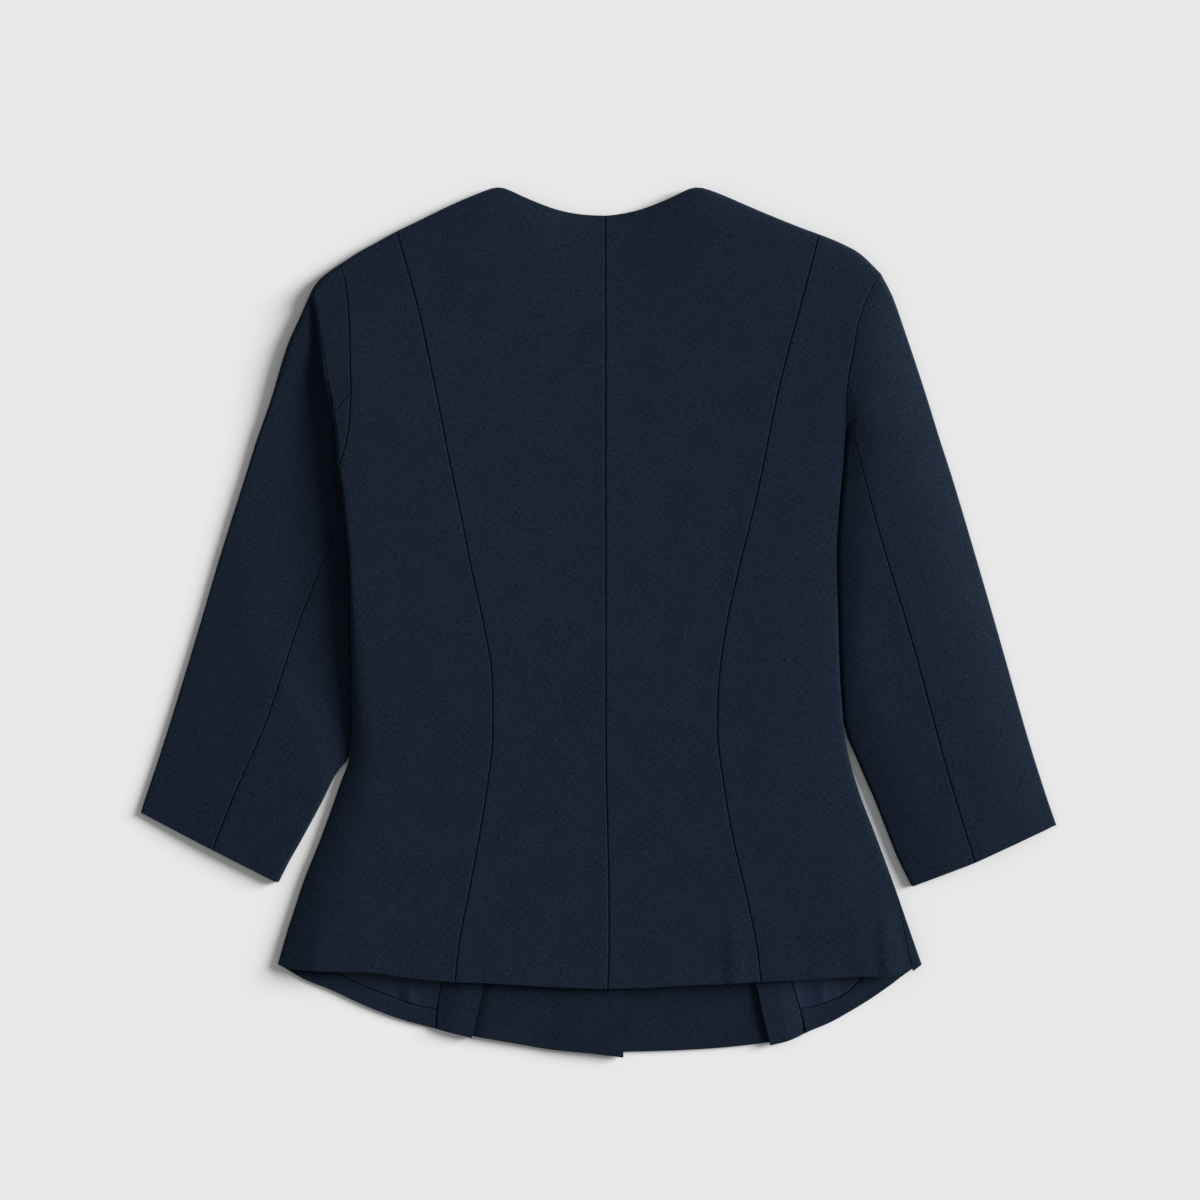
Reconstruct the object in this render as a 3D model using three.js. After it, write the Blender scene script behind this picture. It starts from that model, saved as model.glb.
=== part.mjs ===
// A women's collarless jacket in navy wool, laid flat on its front with its back up.
// Millimetres, +Z up. The wearer's left is at minus X, the neck at plus Y, and it lies on z = 0.

import * as THREE from 'three';

// Cloth
const cloth = 1.4; // wall of the backs and sleeves
const frontCloth = 1.2; // wall of the fronts, facings, strips and bands
const liningCloth = 1.0;
const seamGap = 0.3; // between pieces that are sewn edge to edge
const layerStep = 1.5; // one front layer and the gap above it
const armholeGap = 0.5; // where the sleeve is set in
const tuck = 1; // between the body's side fold and the sleeve beside it

// How the jacket lies
const bodyHeight = 6.4;
const sleeveHeight = 6.4;
const hemHeight = 7.8; // over the facings and strips at the hem
const underHem = -240; // the facings, strips, bands and linings reach up to here
const stackFade = 18; // the back comes down from the hem's height over this length
const neckSag = { depth: 2.2, x: 5.5, y: 304.9, width: 48, length: 55 }; // nothing lies under it there
const rollSteps = 3; // faces round a quarter of a fold
const hemInset = 0.4; // the inside pieces lie this far in from the turned edges
const centre = { x: 0.4, y: 0.1 }; // middle of the jacket's plan

// Shoulder and back neck line, from the left sleeve head to the right one
const topEdge = [
  { x: -191.9, y: 269 }, { x: -178.5, y: 277.7 }, { x: -163.5, y: 285.9 }, { x: -150.7, y: 292.9 },
  { x: -133.5, y: 301.2 }, { x: -118.5, y: 308.6 }, { x: -103.5, y: 315.6 }, { x: -88.5, y: 321.8 },
  { x: -79, y: 325.4 }, { x: -73.5, y: 325.9 }, { x: -68, y: 324.2 }, { x: -52, y: 317 },
  { x: -31.6, y: 309.4 }, { x: -13.5, y: 305.8 }, { x: 5.5, y: 304.9 }, { x: 16.5, y: 306 },
  { x: 32.3, y: 309.4 }, { x: 52.2, y: 316.9 }, { x: 68, y: 324.4 }, { x: 74.2, y: 325.9 },
  { x: 80, y: 325 }, { x: 91.5, y: 320.9 }, { x: 121.5, y: 308 }, { x: 151.5, y: 295.8 },
  { x: 165.2, y: 290.8 }, { x: 181.5, y: 284.2 }, { x: 196.5, y: 275.9 }, { x: 212, y: 261 },
];

// Back hem, from the left corner to the right one
const backHem = [
  { x: -240, y: -256 }, { x: -228.8, y: -259.1 }, { x: -198.8, y: -260.6 }, { x: -167.3, y: -261.4 },
  { x: -148.5, y: -264.2 }, { x: -111, y: -268.1 }, { x: -88.5, y: -269 }, { x: 6.8, y: -273.2 },
  { x: 76.5, y: -270.4 }, { x: 121.5, y: -268.1 }, { x: 166.5, y: -265.9 }, { x: 195.5, y: -264.3 },
  { x: 213.8, y: -264.6 }, { x: 229.3, y: -260.8 }, { x: 242, y: -255 },
];

const centreBack = [
  { y: -273.2, x: 7.1 }, { y: -240, x: 8.1 }, { y: -200, x: 7.9 }, { y: -150, x: 6.9 },
  { y: -110, x: 5.9 }, { y: 0, x: 5.6 }, { y: 304.9, x: 5.4 },
];

// Soft folds of the laid back: a bump along a line from low to high, fading over its upper part
const foldFadeFrom = 0.4;
const backFolds = [
  { lowX: 213.5, lowY: -272, highX: 208, highY: -205, width: 5, height: 0.9 },
  { lowX: -211, lowY: -268, highX: -209, highY: -212, width: 6, height: 0.7 },
  { lowX: 103, lowY: -274, highX: 96, highY: -190, width: 9, height: 0.8 },
];

// The wearer's left side. Each line gives x at a few heights, from the hem or cuff upwards.
const left = {
  name: 'left',
  sign: -1,
  // Side fold from the hem corner up to the underarm, then the armhole up to the shoulder
  edge: [
    { y: -256, x: -240 }, { y: -231.5, x: -233 }, { y: -211.7, x: -226.6 }, { y: -193, x: -220.4 },
    { y: -163, x: -208.4 }, { y: -133, x: -197.5 }, { y: -118, x: -192.2 }, { y: -104, x: -187 },
    { y: -92, x: -185.4 }, { y: -70, x: -184.6 }, { y: -40, x: -184.5 }, { y: 0, x: -184.7 },
    { y: 50, x: -186.8 }, { y: 80, x: -190 }, { y: 100, x: -191 }, { y: 114.4, x: -193.3 },
    { y: 132.4, x: -188.3 }, { y: 151, x: -185.5 }, { y: 172, x: -184.5 }, { y: 195, x: -185 },
    { y: 225, x: -186 }, { y: 250, x: -188.3 }, { y: 269, x: -191.9 },
  ],
  foldTop: { open: 140, folded: 114 },
  // Where the side seam lies on the top face, as girth from the fold
  sideSeam: [{ y: -260, girth: 0 }, { y: -180, girth: 0 }],
  princess: [
    { y: -268.5, x: -106.9 }, { y: -240, x: -103.9 }, { y: -200, x: -96.3 }, { y: -160, x: -88.9 },
    { y: -120, x: -82.5 }, { y: -80, x: -78.7 }, { y: -40, x: -79.3 }, { y: 0, x: -85.7 },
    { y: 40, x: -94.5 }, { y: 80, x: -102.4 }, { y: 120, x: -110.8 }, { y: 160, x: -118.5 },
    { y: 200, x: -126.8 }, { y: 240, x: -135.8 }, { y: 292.9, x: -150.7 },
  ],
  frontPrincess: [
    { y: -311.2, x: -94.5 }, { y: -270, x: -85.5 }, { y: -230, x: -77.5 }, { y: -190, x: -71 },
    { y: -150, x: -67 }, { y: -50, x: -66 }, { y: 50, x: -79 }, { y: 150, x: -98 },
    { y: 250, x: -124 }, { y: 298, x: -140 },
  ],
  sideHem: [
    { x: -240, y: -256 }, { x: -220, y: -267.6 }, { x: -199.5, y: -275.8 }, { x: -172.9, y: -288.1 },
    { x: -148.3, y: -297.3 }, { x: -121.6, y: -304.5 }, { x: -94.5, y: -311.2 },
  ],
  frontHem: [
    { x: -108, y: -307.6 }, { x: -93.8, y: -310 }, { x: -66.2, y: -314.7 }, { x: -35.5, y: -319.9 },
    { x: -4.7, y: -322.9 }, { x: 19, y: -325.8 },
  ],
  frontEdgeX: 19, // centre front edge of the lap
  lapLift: 1, // the left front lies over the right one
  lapFrom: { low: -34, full: -12 },
  neckPointX: -73.5,
  frontNeck: [
    { x: -73.5, y: 325.9 }, { x: -71, y: 305 }, { x: -64, y: 282 }, { x: -50, y: 258 },
    { x: -30, y: 242 }, { x: -5, y: 233 }, { x: 19, y: 231 },
  ],
  stripOuter: [{ y: -303.6, x: -122.3 }, { y: -289, x: -121 }, { y: -270, x: -117.8 }, { y: -240, x: -113 }],
  bandTop: [
    { x: -230, y: -244 }, { x: -210, y: -255 }, { x: -190.7, y: -264.8 }, { x: -167.3, y: -275.9 },
    { x: -129.8, y: -288.7 }, { x: -115, y: -291.4 },
  ],
  bandEndX: -230,
  sleeveOuter: [
    { y: -142.9, x: -342.7 }, { y: -133, x: -339.7 }, { y: -103, x: -329.6 }, { y: -73, x: -320 },
    { y: -13, x: -301.7 }, { y: 47, x: -284 }, { y: 107, x: -265 }, { y: 137, x: -255.5 },
    { y: 167, x: -244.9 }, { y: 197, x: -236 }, { y: 212, x: -230.8 }, { y: 227, x: -223.9 },
    { y: 242, x: -217.3 }, { y: 249.4, x: -213.7 }, { y: 256.9, x: -208.2 }, { y: 264.4, x: -198.9 },
    { y: 269, x: -192.1 },
  ],
  sleeveSeam: [
    { y: -170.3, x: -288.7 }, { y: -128.6, x: -272.3 }, { y: -75.4, x: -249 }, { y: -37, x: -236.2 },
    { y: 2, x: -223.5 }, { y: 25, x: -214.5 }, { y: 48.4, x: -204.8 }, { y: 64, x: -198.4 },
    { y: 80, x: -193.9 }, { y: 98, x: -195.8 }, { y: 118, x: -198.4 }, { y: 137, x: -198.8 },
    { y: 155.6, x: -195.8 }, { y: 164, x: -191.2 }, { y: 172.1, x: -184.7 },
  ],
  sleeveInner: [
    { y: -194.6, x: -239.2 }, { y: -178, x: -230.7 }, { y: -163, x: -222.2 }, { y: -133, x: -206 },
    { y: -118, x: -199.2 }, { y: -104, x: -190.2 }, { y: -92, x: -187.2 },
  ],
  // Sections of the sleeve from armhole to cuff: the heights of their ends and of the back seam
  stations: [
    { at: 0, outer: 269, seam: 172.1, inner: 114.4 }, { at: 0.05, outer: 259, seam: 164, inner: 113.4 },
    { at: 0.09, outer: 248.5, seam: 155.6, inner: 111 }, { at: 0.14, outer: 236, seam: 137, inner: 103 },
    { at: 0.2, outer: 210, seam: 116, inner: 91 }, { at: 0.28, outer: 176, seam: 90, inner: 73 },
    { at: 0.36, outer: 138, seam: 63, inner: 50 }, { at: 0.46, outer: 90, seam: 31, inner: 16 },
    { at: 0.56, outer: 45, seam: 0, inner: -22 }, { at: 0.68, outer: -8, seam: -40, inner: -62 },
    { at: 0.79, outer: -56, seam: -80, inner: -104 }, { at: 0.9, outer: -102, seam: -126, inner: -150 },
    { at: 1, outer: -142.9, seam: -170.3, inner: -194.6 },
  ],
  sleeveRows: [
    0, 0.05, 0.085, 0.1, 0.115, 0.135, 0.16, 0.2, 0.25, 0.32, 0.4, 0.48, 0.56, 0.64, 0.72, 0.79, 0.86,
    0.93, 1,
  ],
  // Edge of the sleeve head that lies on the body, above the dropped outer sleeve
  headFold: [
    { y: 114.4, x: -193.5 }, { y: 129.4, x: -194.3 }, { y: 151, x: -196.5 }, { y: 169, x: -201 },
    { y: 192.4, x: -205.5 }, { y: 228.4, x: -210 }, { y: 247, x: -214 },
  ],
  headFade: { low: 114, high: 142 },
  headStep: { from: -0.5, to: 4.5 }, // the drop from that edge, outward
  // Height of the sleeve beside the body, and the distance over which it rises outward
  valley: [
    { y: -130, floor: 6.4, rise: 10 }, { y: -105, floor: 5.2, rise: 14 }, { y: -70, floor: 4.2, rise: 26 },
    { y: 0, floor: 3.7, rise: 40 }, { y: 170, floor: 3.6, rise: 38 }, { y: 200, floor: 3.7, rise: 26 },
    { y: 225, floor: 4.4, rise: 16 }, { y: 250, floor: 6.4, rise: 8 },
  ],
};

// The wearer's right side, with the same lines
const right = {
  name: 'right',
  sign: 1,
  edge: [
    { y: -255, x: 242 }, { y: -238, x: 236 }, { y: -208, x: 225.5 }, { y: -193, x: 220.2 },
    { y: -163, x: 209.1 }, { y: -133, x: 197.5 }, { y: -118, x: 192.4 }, { y: -103, x: 188.2 },
    { y: -88, x: 185 }, { y: -75, x: 183.5 }, { y: -40, x: 180.9 }, { y: 0, x: 179.5 },
    { y: 30, x: 178.8 }, { y: 55, x: 178.4 }, { y: 80, x: 179.9 }, { y: 100, x: 181.5 },
    { y: 120, x: 183.4 }, { y: 150, x: 185 }, { y: 177.8, x: 186 }, { y: 203, x: 190.9 },
    { y: 224, x: 194.3 }, { y: 242.6, x: 201 }, { y: 261, x: 212 },
  ],
  foldTop: { open: 196, folded: 172 },
  sideSeam: [
    { y: -262, girth: 15.2 }, { y: -228, girth: 11 }, { y: -202, girth: 6.5 }, { y: -188, girth: 2 },
    { y: -180, girth: 0 },
  ],
  princess: [
    { y: -268.2, x: 121.5 }, { y: -240, x: 118.1 }, { y: -200, x: 109.7 }, { y: -160, x: 100.4 },
    { y: -120, x: 93.5 }, { y: -80, x: 89 }, { y: -40, x: 90.4 }, { y: 0, x: 96 }, { y: 40, x: 104.9 },
    { y: 80, x: 114.8 }, { y: 120, x: 123.6 }, { y: 160, x: 131.5 }, { y: 200, x: 141 },
    { y: 240, x: 151.9 }, { y: 290.8, x: 165.2 },
  ],
  frontPrincess: [
    { y: -316.6, x: 129 }, { y: -294.6, x: 123.5 }, { y: -270.6, x: 118.5 }, { y: -230, x: 109 },
    { y: -190, x: 101 }, { y: -150, x: 95 }, { y: -100, x: 91 }, { y: 0, x: 93 }, { y: 100, x: 105 },
    { y: 200, x: 122 }, { y: 250, x: 134 }, { y: 297, x: 148 },
  ],
  sideHem: [
    { x: 129, y: -316.6 }, { x: 143.2, y: -313.1 }, { x: 156.7, y: -307.1 }, { x: 174, y: -299.9 },
    { x: 189, y: -291.6 }, { x: 204, y: -282.4 }, { x: 219, y: -272 }, { x: 228, y: -265.1 },
    { x: 236.1, y: -259.4 }, { x: 242, y: -255 },
  ],
  frontHem: [
    { x: -10, y: -322 }, { x: 18.3, y: -321.8 }, { x: 48, y: -321.2 }, { x: 84, y: -319.4 },
    { x: 106.5, y: -317.4 }, { x: 127.4, y: -314.8 }, { x: 142, y: -312.5 },
  ],
  frontEdgeX: -10,
  lapLift: 0,
  lapFrom: { low: 34, full: 12 },
  neckPointX: 74.2,
  frontNeck: [
    { x: -10, y: 231 }, { x: 14, y: 233 }, { x: 34, y: 242 }, { x: 52, y: 258 }, { x: 65, y: 282 },
    { x: 72, y: 305 }, { x: 74.2, y: 325.9 },
  ],
  stripOuter: [{ y: -307.1, x: 156.7 }, { y: -292.7, x: 152.5 }, { y: -270.2, x: 146 }, { y: -240, x: 138 }],
  bandTop: [
    { x: 146, y: -291.5 }, { x: 152.4, y: -290 }, { x: 163.2, y: -287.3 }, { x: 184.8, y: -278.3 },
    { x: 199.3, y: -265.1 }, { x: 215, y: -253 }, { x: 231, y: -243 },
  ],
  bandEndX: 231,
  sleeveOuter: [
    { y: -151.9, x: 343.5 }, { y: -133, x: 336.9 }, { y: -103, x: 327.2 }, { y: -73, x: 318.2 },
    { y: -13, x: 301.2 }, { y: 47, x: 283.8 }, { y: 107, x: 265.9 }, { y: 137, x: 256.2 },
    { y: 167, x: 246.9 }, { y: 197, x: 237.1 }, { y: 212, x: 232 }, { y: 227, x: 226.9 },
    { y: 242, x: 221.4 }, { y: 249.4, x: 218 }, { y: 256.9, x: 214 }, { y: 261, x: 212.2 },
  ],
  sleeveSeam: [
    { y: -179.8, x: 281.8 }, { y: -136, x: 268.1 }, { y: -100, x: 257.6 }, { y: -64, x: 247.9 },
    { y: -28, x: 238.1 }, { y: 8, x: 227.6 }, { y: 44, x: 216.4 }, { y: 62, x: 211.1 },
    { y: 80, x: 205.9 }, { y: 98, x: 201.4 }, { y: 116, x: 196.6 }, { y: 131.6, x: 192.9 },
    { y: 142, x: 191 }, { y: 154, x: 191.8 }, { y: 166, x: 190.9 }, { y: 177.8, x: 186.2 },
  ],
  sleeveInner: [
    { y: -197.6, x: 235 }, { y: -178, x: 225.2 }, { y: -163, x: 219 }, { y: -133, x: 207.2 },
    { y: -118, x: 200.6 }, { y: -103, x: 194.2 }, { y: -90, x: 188 },
  ],
  stations: [
    { at: 0, outer: 261, seam: 177.8, inner: 135 }, { at: 0.05, outer: 251, seam: 166, inner: 128 },
    { at: 0.1, outer: 236, seam: 153, inner: 118 }, { at: 0.15, outer: 216, seam: 138, inner: 104 },
    { at: 0.22, outer: 186, seam: 118, inner: 84 }, { at: 0.3, outer: 152, seam: 93, inner: 58 },
    { at: 0.38, outer: 114, seam: 64, inner: 31 }, { at: 0.47, outer: 74, seam: 33, inner: 2 },
    { at: 0.57, outer: 30, seam: -4, inner: -34 }, { at: 0.68, outer: -18, seam: -45, inner: -70 },
    { at: 0.79, outer: -62, seam: -88, inner: -110 }, { at: 0.9, outer: -107, seam: -134, inner: -152 },
    { at: 1, outer: -151.9, seam: -179.8, inner: -197.6 },
  ],
  sleeveRows: [0, 0.04, 0.08, 0.12, 0.17, 0.23, 0.3, 0.37, 0.44, 0.52, 0.6, 0.68, 0.76, 0.84, 0.92, 1],
  headFold: null,
  valley: [
    { y: -112, floor: 6.4, rise: 10 }, { y: -85, floor: 5.6, rise: 14 }, { y: -50, floor: 4.6, rise: 22 },
    { y: 0, floor: 4.4, rise: 26 }, { y: 150, floor: 4.4, rise: 24 }, { y: 170, floor: 5, rise: 20 },
    { y: 192, floor: 6.4, rise: 20 },
  ],
};

// The open pleat at the foot of each front princess seam
const pleat = {
  top: -140, full: -200, overlap: 10.5, rampStart: 2, rampEnd: 14, liftFrom: -85, liftTo: -125,
};

const { lerp, clamp, smoothstep } = THREE.MathUtils;

// A column of a table at a key value, on a smooth curve through the rows, held past the ends.
function read(rows, key, at, column) {
  const last = rows.length - 1;
  if (at <= rows[0][key]) return rows[0][column];
  if (at >= rows[last][key]) return rows[last][column];
  let i = 0;
  while (at > rows[i + 1][key]) i += 1;
  const slope = (a, b) => (rows[b][column] - rows[a][column]) / (rows[b][key] - rows[a][key]);
  const span = rows[i + 1][key] - rows[i][key];
  const startSlope = i > 0 ? slope(i - 1, i + 1) : slope(i, i + 1);
  const endSlope = i + 1 < last ? slope(i, i + 2) : slope(i, i + 1);
  const s = (at - rows[i][key]) / span;
  const start = rows[i][column] * (1 + 2 * s) * (1 - s) ** 2 + startSlope * span * s * (1 - s) ** 2;
  const end = rows[i + 1][column] * s * s * (3 - 2 * s) - endSlope * span * s * s * (1 - s);
  return start + end;
}

const xAt = (rows, y) => read(rows, 'y', y, 'x');
const yAt = (rows, x) => read(rows, 'x', x, 'y');
const pointAt = (rows, y) => new THREE.Vector2(xAt(rows, y), y);

// A line's point at a share of its height
const along = (rows, share) => pointAt(rows, lerp(rows[0].y, rows.at(-1).y, share));

// Height of the laid body above the surface
function bodyTop(x, y) {
  const overStack = 1 - smoothstep(y, underHem, underHem + stackFade);
  const fromNeck = ((x - neckSag.x) / neckSag.width) ** 2 + ((y - neckSag.y) / neckSag.length) ** 2;
  let height = lerp(bodyHeight, hemHeight, overStack) - neckSag.depth * Math.exp(-fromNeck);
  for (const fold of backFolds) {
    const share = clamp((y - fold.lowY) / (fold.highY - fold.lowY), 0, 1);
    const fade = 1 - smoothstep(share, foldFadeFrom, 1);
    const away = (x - lerp(fold.lowX, fold.highX, share)) / fold.width;
    height += fold.height * fade * Math.exp(-away * away);
  }
  return height;
}

// Height of a laid sleeve: low beside the body's side fold, rising to its outer fold
function sleeveTop(side, x, y) {
  const onHead = side.headFold !== null && y > side.headFold[0].y;
  const foldX = onHead ? xAt(side.headFold, y) : xAt(side.edge, y);
  const out = (x - foldX) * side.sign;
  const floor = read(side.valley, 'y', y, 'floor');
  const rise = read(side.valley, 'y', y, 'rise');
  const dropped = lerp(floor, sleeveHeight, smoothstep(out, 0, rise));
  if (!onHead) return dropped;
  const raised = 1 - smoothstep(out, side.headStep.from, side.headStep.to);
  return lerp(dropped, bodyHeight, raised * smoothstep(y, side.headFade.low, side.headFade.high));
}

// How far a pleat's upper side front reaches over the centre front
const pleatOverlap = (y) => pleat.overlap * (1 - smoothstep(y, pleat.full, pleat.top));

// How many layers lie under a front: one above the facings' upper ends, two below
const facingsEnd = { low: underHem + 15, high: underHem + 40 };
const layersBelow = (y) => 2 - smoothstep(y, facingsEnd.low, facingsEnd.high);

function sideFrontLift(side, x, y) {
  const out = (x - xAt(side.frontPrincess, y)) * side.sign;
  const overlap = pleatOverlap(y);
  const raised = 1 - smoothstep(out, overlap + pleat.rampStart, overlap + pleat.rampEnd);
  return raised * layersBelow(y) * layerStep * (1 - smoothstep(y, pleat.liftTo, pleat.liftFrom));
}

function frontLift(side, x, y) {
  return side.lapLift * smoothstep(x, side.lapFrom.low, side.lapFrom.full) * layersBelow(y) * layerStep;
}

// A closed wall between an outer and an inner grid of points
function wall(columns, rows, thickness, pointOf) {
  const positions = [];
  const index = [];
  for (const inset of [0, thickness]) {
    for (let j = 0; j < rows; j += 1) {
      for (let i = 0; i < columns; i += 1) positions.push(...pointOf(i, j, inset));
    }
  }
  const outer = (i, j) => j * columns + i;
  const inner = (i, j) => columns * rows + outer(i, j);
  const quad = (a, b, c, d) => index.push(a, b, c, a, c, d);
  for (let j = 0; j + 1 < rows; j += 1) {
    for (let i = 0; i + 1 < columns; i += 1) {
      quad(outer(i, j), outer(i + 1, j), outer(i + 1, j + 1), outer(i, j + 1));
      quad(inner(i, j), inner(i, j + 1), inner(i + 1, j + 1), inner(i + 1, j));
    }
  }
  const rim = (from, to) => quad(outer(...to), outer(...from), inner(...from), inner(...to));
  for (let i = 0; i + 1 < columns; i += 1) {
    rim([i, 0], [i + 1, 0]);
    rim([i + 1, rows - 1], [i, rows - 1]);
  }
  for (let j = 0; j + 1 < rows; j += 1) {
    rim([columns - 1, j], [columns - 1, j + 1]);
    rim([0, j + 1], [0, j]);
  }
  if (signedVolume(positions, index) < 0) index.reverse();
  const geometry = new THREE.BufferGeometry();
  geometry.setAttribute('position', new THREE.Float32BufferAttribute(positions, 3));
  geometry.setIndex(index);
  geometry.computeVertexNormals();
  return geometry;
}

function signedVolume(positions, index) {
  const corner = (n) => new THREE.Vector3().fromArray(positions, index[n] * 3);
  let volume = 0;
  for (let n = 0; n < index.length; n += 3) {
    volume += corner(n).dot(corner(n + 1).cross(corner(n + 2))) / 6;
  }
  return volume;
}

// Place on a fold's round edge: its distance in plan from the fold and its height.
// girth runs from the fold's edge, plus over the top and minus underneath; round is 1 on a fold
// and 0 on a cut edge.
function roundFold(girth, inset, radius, height, round) {
  const quarter = (radius * Math.PI) / 2;
  const angle = Math.min(Math.abs(girth) / radius, Math.PI / 2);
  const past = Math.max(Math.abs(girth) - quarter, 0);
  const away = radius - (radius - round * inset) * Math.cos(angle) + past + ((1 - round) * armholeGap) / 2;
  const rolledTop = height / 2 + (height / 2 - inset) * Math.sin(angle);
  const rolledUnder = radius - (radius - inset) * Math.sin(angle);
  const z = girth > 0 ? lerp(height - inset, rolledTop, round) : lerp(inset, rolledUnder, round);
  return { away, z };
}

// Rows of every body panel, as shares from the hem to just below the shoulder: closer at the armhole
const underarmShare = 0.7;
const shoulderShare = 0.98;
const rowsBelow = 13;
const rowsAbove = 10;
const rowShares = [];
for (let i = 0; i < rowsBelow; i += 1) rowShares.push((underarmShare * i) / rowsBelow);
for (let i = 0; i <= rowsAbove; i += 1) rowShares.push(lerp(underarmShare, shoulderShare, i / rowsAbove));

// A body panel in plan. Its rows run from an outer line to an inner line.
function planPoint(panel, across, t) {
  const place = along(panel.outer, t).lerp(along(panel.inner, t), across);
  const low = along(panel.outer, 0).lerp(along(panel.inner, 0), across);
  const high = along(panel.outer, 1).lerp(along(panel.inner, 1), across);
  place.y += (1 - t) ** 2 * (yAt(panel.hem, low.x) - low.y);
  place.y += t ** 2 * (yAt(panel.top, high.x) - high.y);
  return place;
}

// A body panel as a wall. Rows near the shoulder go round its fold to the seam at mid height.
function bodyPanel(panel) {
  const rowCount = rowShares.length + rollSteps + 1;
  const isTop = panel.face === 'top';
  const pointOf = (i, j, inset) => {
    const t = j < rowShares.length ? rowShares[j] : 1;
    const column = panel.columnAt(i, t, inset);
    let place = planPoint(panel, column.across, t);
    const flat = isTop ? bodyTop(place.x, place.y) - inset : panel.lift(place.x, place.y) + inset;
    let z = column.z === undefined ? flat : column.z + (isTop ? 0 : panel.lift(place.x, place.y));
    if (j >= rowShares.length) {
      const step = j - rowShares.length;
      const height = bodyTop(place.x, place.y);
      const radius = height / 2;
      const girth = Math.max(radius * (Math.PI / 2) * (1 - step / rollSteps), seamGap / 2);
      const onShoulder = panel.shoulderAt(place.x);
      const roll = roundFold(isTop ? girth : -girth, inset, radius, height, onShoulder);
      const below = planPoint(panel, column.across, shoulderShare);
      place = place.clone().add(below.sub(place).setLength(roll.away));
      z = roll.z + (isTop ? 0 : panel.lift(place.x, place.y));
    }
    return [place.x - centre.x, place.y - centre.y, z];
  };
  return wall(panel.columns, rowCount, panel.thickness, pointOf);
}

const neckRollFade = 12;

// Full roll on the shoulder, none along the neckline
function shoulderRoll(side, x) {
  const past = (side.neckPointX - x) * side.sign;
  return 1 - smoothstep(past, 0, neckRollFade);
}

function backPanel(side) {
  const shoulder = along(side.princess, 1);
  const neckShare = (shoulder.x - side.neckPointX) / (shoulder.x - along(centreBack, 1).x);
  const width = Math.abs(xAt(side.princess, 0) - xAt(centreBack, 0));
  const edgeShare = seamGap / 2 / width;
  const half = 3;
  return bodyPanel({
    face: 'top', thickness: cloth, columns: 2 * half + 1,
    outer: side.princess, inner: centreBack, hem: backHem, top: topEdge,
    lift: () => 0,
    shoulderAt: (x) => shoulderRoll(side, x),
    columnAt: (i) => {
      const across = i <= half ? (neckShare * i) / half : lerp(neckShare, 1, (i - half) / half);
      return { across: clamp(across, edgeShare, 1 - edgeShare) };
    },
  });
}

// Share of a row at which it crosses a line given as x over y, found by repeated steps
function crossing(panel, t, lineX) {
  const width = along(panel.inner, t).x - along(panel.outer, t).x;
  const passes = 8;
  let across = 1;
  for (let pass = 0; pass < passes; pass += 1) {
    const place = planPoint(panel, across, t);
    across += (lineX(place.y) - place.x) / width;
  }
  return across;
}

// Columns of a side panel: round the side fold, then across to the given inner lines
function sideColumns(side, panel, flatColumns, foldColumns, innerLines) {
  const isTop = panel.face === 'top';
  const narrowest = 3; // girth of the top piece's first columns where the seam lies on top
  return (i, t, inset) => {
    const fold = along(side.edge, t);
    const width = fold.distanceTo(along(panel.inner, t));
    const height = bodyTop(fold.x, fold.y);
    const radius = height / 2;
    const quarter = (radius * Math.PI) / 2;
    const round = 1 - smoothstep(fold.y, side.foldTop.folded, side.foldTop.open);
    const seamGirth = Math.max(read(side.sideSeam, 'y', fold.y, 'girth'), 0);
    const start = isTop ? seamGirth + seamGap / 2 : seamGirth - seamGap / 2;
    const end = isTop ? Math.max(quarter, start + narrowest) : -quarter;
    if (i <= foldColumns) {
      const girth = lerp(start, end, i / foldColumns);
      const roll = roundFold(girth, inset, radius, height, round);
      return { across: roll.away / width, z: roll.z };
    }
    const foldShare = roundFold(end, 0, radius, height, round).away / width;
    const flatShare = Math.min((i - foldColumns) / flatColumns, 1);
    const line = innerLines[Math.max(i - foldColumns - flatColumns, 0)];
    return { across: lerp(foldShare, crossing(panel, t, line), flatShare) };
  };
}

function sideBack(side) {
  const flatColumns = 5;
  const panel = {
    face: 'top', thickness: cloth, columns: flatColumns + rollSteps + 1,
    outer: side.edge, inner: side.princess, hem: backHem, top: topEdge,
    lift: () => 0,
    shoulderAt: () => 1,
  };
  const seamLine = (y) => xAt(side.princess, y) + (side.sign * seamGap) / 2;
  panel.columnAt = sideColumns(side, panel, flatColumns, rollSteps, [seamLine]);
  return bodyPanel(panel);
}

// Lines of a side front beside its pleat: the strip's outer edge, the ramp and the pleat's edge
function pleatLines(side) {
  const stripWidth = (y) => {
    const low = Math.min(y, underHem);
    return Math.abs(xAt(side.stripOuter, low) - xAt(side.frontPrincess, low));
  };
  const outward = (distance) => (y) => xAt(side.frontPrincess, y) + side.sign * distance(y);
  return [
    outward(stripWidth),
    outward((y) => pleatOverlap(y) + pleat.rampEnd),
    outward((y) => pleatOverlap(y) + pleat.rampStart),
    outward(() => seamGap / 2),
  ];
}

function sideFrontPanel(side) {
  const flatColumns = 4;
  const foldColumns = side.sideSeam[0].girth > 0 ? 2 * rollSteps + 1 : rollSteps;
  const lines = pleatLines(side);
  const panel = {
    face: 'bottom', thickness: frontCloth, columns: foldColumns + flatColumns + lines.length,
    outer: side.edge, inner: side.frontPrincess, hem: side.sideHem, top: topEdge,
    lift: (x, y) => sideFrontLift(side, x, y),
    shoulderAt: () => 1,
  };
  panel.columnAt = sideColumns(side, panel, flatColumns, foldColumns, lines);
  return panel;
}

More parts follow.
